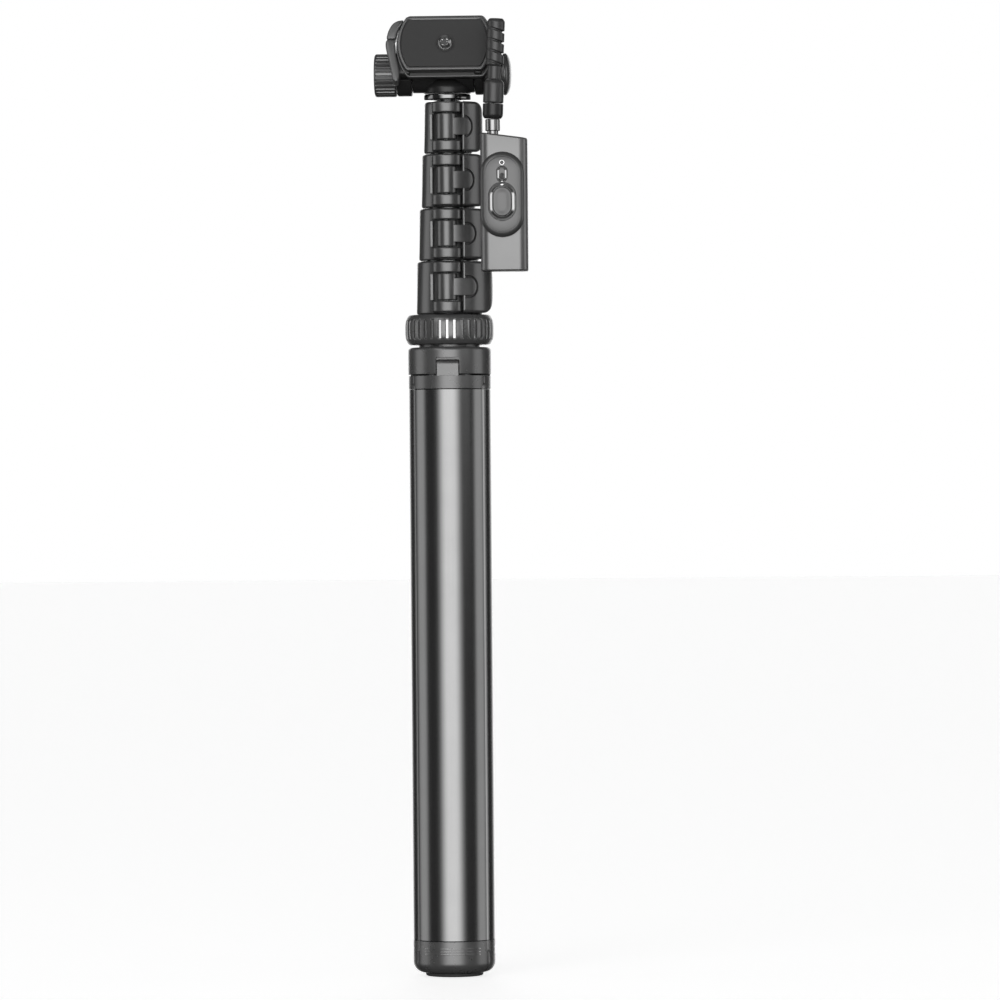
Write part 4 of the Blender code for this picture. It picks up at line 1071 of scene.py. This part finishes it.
knob = {"ribs": 30, "ribDepth": 0.55 * mm, "edge": 1.2 * mm, "plain": 1.6 * mm}


# a drum with ribs along it: between plain bands at its ends the radius dips in narrow grooves
def makeKnob():
    low, high = spanOf("tilt_knob")
    left, right, radius = low[0] + 0.8 * mm, high[0], (high[2] - low[2]) / 2
    x = np.linspace(left + knob["edge"], right - 0.4 * mm, 26)
    bend = np.linspace(0, math.pi / 2, 7)
    edge = knob["edge"]
    start = np.column_stack([radius - edge * (1 - np.sin(bend)), left + edge * (1 - np.cos(bend))])
    finish = [(radius - 0.4 * mm, right), (0.1 * mm, right)]
    body = np.column_stack([np.full(len(x), radius), x])
    face = [(0.1 * mm, left + 0.7 * mm), (radius * 0.62, left + 0.7 * mm), (radius * 0.68, left)]
    profile = np.concatenate([face, start, body[1:], finish])
    step = turnFull / knob["ribs"]

    def ribs(angle, along):
        away = np.abs((angle + step / 2) % step - step / 2) / step
        line = 1 - smoothStep(0.08, 0.24, away)
        there = smoothStep(left + 0.3 * mm, left + knob["plain"], along) * (along < right - 0.5 * mm)
        return -knob["ribDepth"] * line * there

    mesh = turnedMesh("knob", profile, lockPlastic, "X", (0, tiltZ), knob["ribs"] * 16, ribs)
    makePiece("tilt_knob_drum", [mesh], "tilt_knob", ["tilt_knob"], 40)


# a dome: the radius falls with the 0.8th power of the cosine as the height rises with the sine
def makeEndCap():
    low, high = spanOf("tilt_end_cap")
    radius = (high[2] - low[2]) / 2
    bend = np.linspace(0, math.pi / 2, 16)
    foot = low[0] + 1 * mm
    dome = np.column_stack([radius * np.cos(bend) ** 0.8, foot + (high[0] - foot) * np.sin(bend)])
    profile = np.concatenate([[(0.1 * mm, low[0]), (radius - 0.3 * mm, low[0])], dome[:-1]])
    mesh = turnedMesh("cap", profile, lockPlastic, "X", (0, tiltZ), 128)
    makePiece("end_cap_dome", [mesh], "tilt_head", ["tilt_end_cap"])


makePanDisc()
makePanBase()
makePlatform()
makeRelease()
makePlate()
makeScrew()
makeKnob()
makeEndCap()
print("head made")


# Handle.

handle = {
    "lean": math.radians(2.5),
    "grip": 4.6 * mm,
    "grooves": 4,
    "pitch": 5.65 * mm,
    "groove": 0.75 * mm,
    "deep": 1.3 * mm,
    "slant": 1.3 * mm,
    "plain": 3.6 * mm,
    "socket": 5.3 * mm,
    "arm": 7.0 * mm,
}
handleX = spanOf("handle_rod")[0][0] + 3.8 * mm
handleY = (spanOf("handle_rod")[0][1] + spanOf("handle_rod")[1][1]) / 2
leanFrom = Matrix.Translation((handleX, handleY, heightsOf("handle_collar")[0]))
handleTurn = leanFrom @ Matrix.Rotation(handle["lean"], 4, "Y") @ leanFrom.inverted()


# the mesh leaned over with the handle
def leaning(mesh):
    mesh.transform(handleTurn)
    return mesh


# a solid of (radius, height) corners turned about the handle's own axis
def upright(name, corners, reach, material, sides=96):
    profile = solidProfile(corners, reach)
    return turnedMesh(name, profile, material, centre=(handleX, handleY), sides=sides)


# four slanted grooves run round the grip, deeper on its right side
def makeGrip():
    low, high = heightsOf("handle_grip")
    z = np.linspace(low + 0.2 * mm, high - 0.2 * mm, 150)
    top = smoothStep(0, 1, np.clip((high - z) / (2.2 * mm), 0, 1)) ** 0.5
    lower = low + 6.5 * mm
    radius = handle["plain"] + (handle["grip"] - handle["plain"]) * smoothStep(lower, lower + 1.2 * mm, z)
    radius = radius * (0.72 + 0.28 * top)
    profile = np.column_stack([radius, z])
    first = lower + 2.2 * mm

    def grooves(angle, height):
        total = np.zeros_like(height)
        side = smoothStep(-0.9, 0.7, np.sin(angle))
        for number in range(handle["grooves"]):
            line = first + handle["pitch"] * number - handle["slant"] * np.sin(angle)
            near = np.abs(height - line) / handle["groove"]
            total = total + (1 - smoothStep(0.35, 1.0, near)) * (0.15 + 0.85 * side)
        return -handle["deep"] * total

    mesh = turnedMesh("grip", profile, gripRubber, centre=(handleX, handleY), sides=96, field=grooves)
    makePiece("grip_sleeve", [leaning(mesh)], "tilt_head", ["handle_grip"], 45)


# a root disc on the tilt axis, an arm that runs forward, and the socket that holds the grip
def makeBracket():
    left = spanOf("handle_bracket")[0][0]
    socketLow = heightsOf("handle_collar")[1]
    socketHigh = heightsOf("handle_grip")[0] - 0.3 * mm
    right = spanOf("tilt_end_cap")[0][0] - 0.3 * mm
    radius = head["cheekRadius"] - 0.4 * mm
    root = drumMesh("root", radius, left, right, 0.8 * mm, darkPlastic)
    armLow = socketLow + 6.0 * mm
    armLine = roundedBox(handle["arm"], 7.4 * mm, 1.6 * mm, centre=(handleX, armLow + 3.7 * mm))
    arm = slabMesh("arm", armLine, 3.0 * mm, -handleY, 0.6 * mm, lockPlastic, facingFront)
    r = handle["socket"]
    corners = [(r, socketLow + 0.2 * mm), (r, socketHigh - 1.5 * mm), (r - 1.2 * mm, socketHigh)]
    socket = upright("socket", corners, [0.1 * mm, 0.8 * mm, 1.0 * mm, 0.8 * mm, 0.1 * mm], gripRubber)
    makePiece("handle_socket", [root, arm, leaning(socket)], "tilt_head", ["handle_bracket"])


# the tapered end below the socket, then the sleeve and the spigot that the remote hangs on
def makeHandleEnd():
    low, high = heightsOf("handle_collar")
    end = upright("end", [(4.4 * mm, low), (5.3 * mm, low + 1.6 * mm), (5.3 * mm, high - 0.2 * mm)],
                  [0.1 * mm, 0.8 * mm, 1.6 * mm, 0.3 * mm, 0.1 * mm], darkPlastic)
    makePiece("handle_end", [leaning(end)], "tilt_head", ["handle_collar"])
    rodLow = heightsOf("handle_rod")[0]
    top = low - 0.25 * mm
    step = remoteTop + 0.4 * mm
    sleeve = upright("sleeve", [(3.8 * mm, step), (3.8 * mm, top)],
                     [0.1 * mm, 0.5 * mm, 0.5 * mm, 0.1 * mm], tubeMetal)
    spigot = upright("spigot", [(2.9 * mm, rodLow), (2.9 * mm, step + 1 * mm)], 0.5 * mm, tubeMetal, 64)
    makePiece("handle_sleeve", [sleeve, spigot], "tilt_head", ["handle_rod"])


# Remote control.

remoteLow, remoteTop = heightsOf("remote_back_shell")
remoteTop = remoteTop + 0.3 * mm
makeGrip()
makeBracket()
makeHandleEnd()
print("handle made")

remote = {
    "corner": 4.9 * mm,
    "edge": 1.0 * mm,
    "slant": 3.2 * mm,
    "seam": 0.16 * mm,
    "pebbleEdge": 2.5 * mm,
    "dome": 1.1 * mm,
    "well": 0.9 * mm,
    "hoop": 1.5 * mm,
    "hoopRise": 0.8 * mm,  # height of its inner crest above the pebble's flat
    "hoopDeep": 1.6 * mm,
    "hoopSlope": 1.8,  # fall from the inner crest to the outer one, over half the hoop's width
    "switchWell": (5.2 * mm, 8.1 * mm),
    "switchDepth": 0.7 * mm,
    "switchHoop": (4.0 * mm, 6.9 * mm),
    "switchKey": (2.5 * mm, 3.4 * mm),
    "ridgePitch": 0.7 * mm,
    "ridge": 0.18 * mm,
    "lens": 2.0 * mm,
    "halo": 2.3 * mm,
}


# one half of the case: half of a rounded box seen from above, carried up; its top slants down to
# the right
def caseMesh(frontHalf):
    low, high = spanOf("remote_front_shell")[0], spanOf("remote_back_shell")[1]
    left, right, front, back = low[0], high[0], low[1], high[1]
    middle = (front + back) / 2
    gap = remote["seam"]
    r = remote["corner"]
    bend = np.linspace(0, math.pi / 2, 24)
    if frontHalf:
        leftCorner = np.stack([left + r - r * np.cos(bend), front + r - r * np.sin(bend)], axis=1)
        rightCorner = np.stack([right - r + r * np.sin(bend), front + r - r * np.cos(bend)], axis=1)
        outline = np.concatenate([[(left, middle - gap)], leftCorner, rightCorner, [(right, middle - gap)]])
    else:
        rightCorner = np.stack([right - r + r * np.cos(bend), back - r + r * np.sin(bend)], axis=1)
        leftCorner = np.stack([left + r - r * np.sin(bend), back - r + r * np.cos(bend)], axis=1)
        outline = np.concatenate([[(right, middle + gap)], rightCorner, leftCorner, [(left, middle + gap)]])
    outline = evenly(outline, 200)

    def slanted(points):
        made = points.copy()
        share = (points[:, 0] - left) / (right - left)
        climb = smoothStep(remoteLow + 20 * mm, remoteTop, points[:, 2])
        made[:, 2] = points[:, 2] - remote["slant"] * share * climb
        return made

    return slabMesh("case", outline, remoteLow, remoteTop - 0.3 * mm, remote["edge"], remotePlastic,
                    slanted, 6)


# the two case halves, then on the front the oval pebble, the shutter's hoop and key, the power
# switch and the status light, each where its node is
def makeRemote():
    makePiece("remote_case_front", [caseMesh(True)], "remote", ["remote_front_shell"])
    makePiece("remote_case_back", [caseMesh(False)], "remote", ["remote_back_shell"])
    low, high = spanOf("remote_bezel")
    x, z = middleOf("remote_bezel")[[0, 2]]
    width, height = (high - low)[[0, 2]]
    back, front = -high[1] - 0.4 * mm, -low[1]
    hoopLow, hoopHigh = spanOf("shutter_ring")
    hoopX, hoopZ = middleOf("shutter_ring")[[0, 2]]
    hoopWide, hoopTall = (hoopHigh - hoopLow)[[0, 2]]
    travel = joints["power_switch_slide"]["range_m"][1] / 2
    switchX, switchZ = middleOf("power_switch")[[0, 2]] + (0, 1 * mm)

    def wells(across, up):
        away = stadiumDistance(across - hoopX, up - hoopZ, hoopWide + 0.8 * mm, hoopTall + 0.8 * mm)
        depth = -remote["well"] * (1 - smoothStep(-0.15 * mm, 0.25 * mm, away))
        away = stadiumDistance(across - switchX, up - switchZ, *remote["switchWell"])
        depth = depth - remote["switchDepth"] * (1 - smoothStep(-0.15 * mm, 0.25 * mm, away))
        inwards = stadiumDistance(across - x, up - z, width, height)
        return depth - remote["dome"] * np.clip(1 + inwards / (8 * mm), 0, 1) ** 2

    pebble = slabMesh("pebble", stadiumOutline(width, height, 300, (x, z)), back, front, remote["pebbleEdge"],
                      pebblePlastic, facingFront, 90, wells, 0.2 * mm)
    makePiece("remote_pebble", [pebble], "remote", ["remote_bezel"], 50)

    half = remote["hoop"] / 2
    crest = front + remote["hoopRise"]
    outerTop = crest - remote["hoopSlope"] * half
    section = wallSection(half, front - remote["hoopDeep"], outerTop, crest, 0.1 * mm)
    path = stadiumOutline(hoopWide - 2 * half, hoopTall - 2 * half, 160, (hoopX, hoopZ))
    hoop = hoopMesh("hoop", path, section, brightChrome, facingFront)
    thin = wallSection(0.45 * mm, front - 1 * mm, crest - 1.05 * mm, crest - 0.25 * mm, 0.06 * mm)
    switchPath = stadiumOutline(*remote["switchHoop"], 120, (switchX, switchZ))
    switchHoop = hoopMesh("switchHoop", switchPath, thin, brightChrome, facingFront)
    makePiece("shutter_hoop", [hoop, switchHoop], "remote", ["shutter_ring"])

    inside = 2 * remote["hoop"] + 0.5 * mm
    line = stadiumOutline(hoopWide - inside, hoopTall - inside, 160, (hoopX, hoopZ))

    def dish(across, up):
        away = stadiumDistance(across - hoopX, up - hoopZ, hoopWide - inside, hoopTall - inside)
        return -0.35 * mm * smoothStep(0.2 * mm, 3.5 * mm, -away)

    button = slabMesh("button", line, front - 1.8 * mm, front + 0.45 * mm, 0.6 * mm, pebblePlastic,
                      facingFront, 24, dish)
    makePiece("shutter_key", [button], "shutter_button", ["shutter_button"])

    slider = stadiumOutline(*remote["switchKey"], 96, (switchX, switchZ - travel))

    def finger(across, up):
        ridges = np.cos(turnFull * (up - switchZ) / remote["ridgePitch"])
        return remote["ridge"] * ridges * (np.abs(across - switchX) < 0.9 * mm)

    key = slabMesh("slider", slider, front - 1.2 * mm, front + 0.1 * mm, 0.3 * mm, casePlastic,
                   facingFront, 20, finger)
    makePiece("power_key", [key], "power_switch", ["power_switch"])

    lensPlace = middleOf("status_lens")[[0, 2]]
    circle = stadiumOutline(remote["lens"], remote["lens"], 64, lensPlace)
    lens = slabMesh("lens", circle, front - 1 * mm, front + 0.12 * mm, 0.3 * mm, lensClear, facingFront)
    path = stadiumOutline(remote["halo"], remote["halo"], 64, lensPlace)
    top = front + 0.25 * mm
    glint = wallSection(0.25 * mm, front - 1 * mm, top, top, 0.2 * mm)
    halo = hoopMesh("halo", path, glint, brightChrome, facingFront)
    makePiece("status_light", [lens, halo], "remote", ["status_lens"])


makeRemote()
print("remote made")


# The nodes that stay as the frame has them get a finish.

keptFinish = {"steel": plainSteel, "dark_plastic": darkPlastic, "board": boardGreen, "grey_metal": tubeMetal}
slotOf = {entry["node"]: entry["material_slot"] for entry in frame["record"]["subparts"]}
for name, node in frame["nodes"].items():
    if node.hide_render:
        continue
    finish = keptFinish.get(slotOf.get(name), darkPlastic)
    node.data.materials.clear()
    node.data.materials.append(finish)


# Floor, light and camera.

room = {
    "front": 2.3,
    "frontHalf": 0.42,
    "soft": 0.22,
    "behind": 0.7,
    "side": 0.85,
    "sideHalf": 0.27,
    "top": 0.36,
    "low": 0.2,
    "dark": 0.03,
    "base": 0.03,
}
stage = {
    "floor": 30.0,
    "glow": 0.75,
    "distance": 3.0,
    "azimuth": math.radians(2.6),
    "middle": 0.248,
    "aside": 25.7 * mm,
    "roll": math.radians(0.476),
    "width": 0.5225,
    "sensor": 36.0,
}


# the room: a tall bright panel ahead and behind, dimmer panels at both sides, and dark between
# them, above and below, so that round metal shows upright bands
def makeWorld():
    world = bpy.data.worlds.new("studio")
    scene.world = world
    world.use_nodes = True
    tree = world.node_tree
    way = addNode(tree, "ShaderNodeTexCoord").outputs["Generated"]
    x, y, z = addNode(tree, "ShaderNodeSeparateXYZ", Vector=way).outputs

    # from `low` to `high` in an S while the source passes `middle`, `soft` to either side of it
    def ramp(source, middle, soft, low, high):
        node = addNode(tree, "ShaderNodeMapRange", {"interpolation_type": "SMOOTHSTEP"}, Value=source,
                       From_Min=middle - soft, From_Max=middle + soft, To_Min=low, To_Max=high)
        return node.outputs["Result"]

    across, along, upward = (addMath(tree, "ABSOLUTE", part) for part in (x, y, z))
    front = ramp(across, room["frontHalf"], room["soft"], room["front"], room["dark"])
    front = addMath(tree, "MULTIPLY", front, ramp(y, 0.0, 0.3, 1.0, room["behind"]))
    side = ramp(along, room["sideHalf"], 0.08, room["side"], 0.0)
    level = addMath(tree, "ADD", front, side)
    level = addMath(tree, "MULTIPLY", level, ramp(upward, room["top"], 0.1, 1.0, room["dark"]))
    level = addMath(tree, "MULTIPLY", level, ramp(z, -0.25, 0.1, room["low"], 1.0))
    level = addMath(tree, "ADD", level, room["base"])
    seen = addNode(tree, "ShaderNodeLightPath").outputs["Is Camera Ray"]
    mix = addNode(tree, "ShaderNodeMix", Factor=seen, A=level, B=1.0)
    feed(tree, tree.nodes["Background"], Strength=mix.outputs["Result"], Color=(1, 1, 1, 1))


# a wide pale plane that glows a little, left out of what the metal reflects
def makeFloor():
    material = bpy.data.materials.new("paleFloor")
    material.use_nodes = True
    tree = material.node_tree
    feed(tree, tree.nodes["Principled BSDF"], Base_Color=(0.93, 0.93, 0.93, 1), Roughness=0.7,
         Emission_Color=(1, 1, 1, 1), Emission_Strength=stage["glow"])
    half = stage["floor"] / 2
    mesh = bpy.data.meshes.new("floor")
    corners = [(-half, -half, 0), (half, -half, 0), (half, half, 0), (-half, half, 0)]
    mesh.from_pydata(corners, [], [(0, 1, 2, 3)])
    mesh.materials.append(material)
    floor = bpy.data.objects.new("floor", mesh)
    scene.collection.objects.link(floor)
    floor.visible_glossy = False
    floor.visible_diffuse = False


# a rectangle of light that faces its target and leaves no highlight of its own
def addSoftbox(name, place, target, size, power):
    light = bpy.data.lights.new(name, "AREA")
    light.shape = "RECTANGLE"
    light.size, light.size_y = size
    light.energy = power
    light.specular_factor = 0.0
    box = bpy.data.objects.new(name, light)
    box.location = place
    away = Matrix.Translation(place).translation - Matrix.Translation(target).translation
    box.rotation_euler = away.to_track_quat("Z", "Y").to_euler()
    scene.collection.objects.link(box)


# level, at the stick's middle height, turned by the azimuth and rolled a little; its lens makes the
# stage's width fill the picture at that distance
def makeCamera():
    azimuth = stage["azimuth"]
    right = np.array([math.cos(azimuth), math.sin(azimuth), 0])
    back = np.array([math.sin(azimuth), -math.cos(azimuth), 0])
    target = right * stage["aside"] + (0, 0, stage["middle"])
    camera = bpy.data.cameras.new("camera")
    camera.sensor_width = stage["sensor"]
    camera.lens = stage["sensor"] * stage["distance"] / stage["width"]
    camera.clip_start, camera.clip_end = 0.05, 50
    eye = bpy.data.objects.new("camera", camera)
    turn = (
        Matrix.Rotation(azimuth, 4, "Z")
        @ Matrix.Rotation(math.pi / 2, 4, "X")
        @ Matrix.Rotation(-stage["roll"], 4, "Z")
    )
    eye.matrix_world = Matrix.Translation(target + back * stage["distance"]) @ turn
    scene.collection.objects.link(eye)
    scene.camera = eye


makeWorld()
makeFloor()
addSoftbox("keyLight", (-0.9, -1.6, 1.5), (0, 0, 0.3), (0.9, 0.9), 3.5)
addSoftbox("fillLight", (1.4, -1.2, 0.9), (0, 0, 0.3), (0.8, 1.2), 1.2)
makeCamera()
print("stage made")
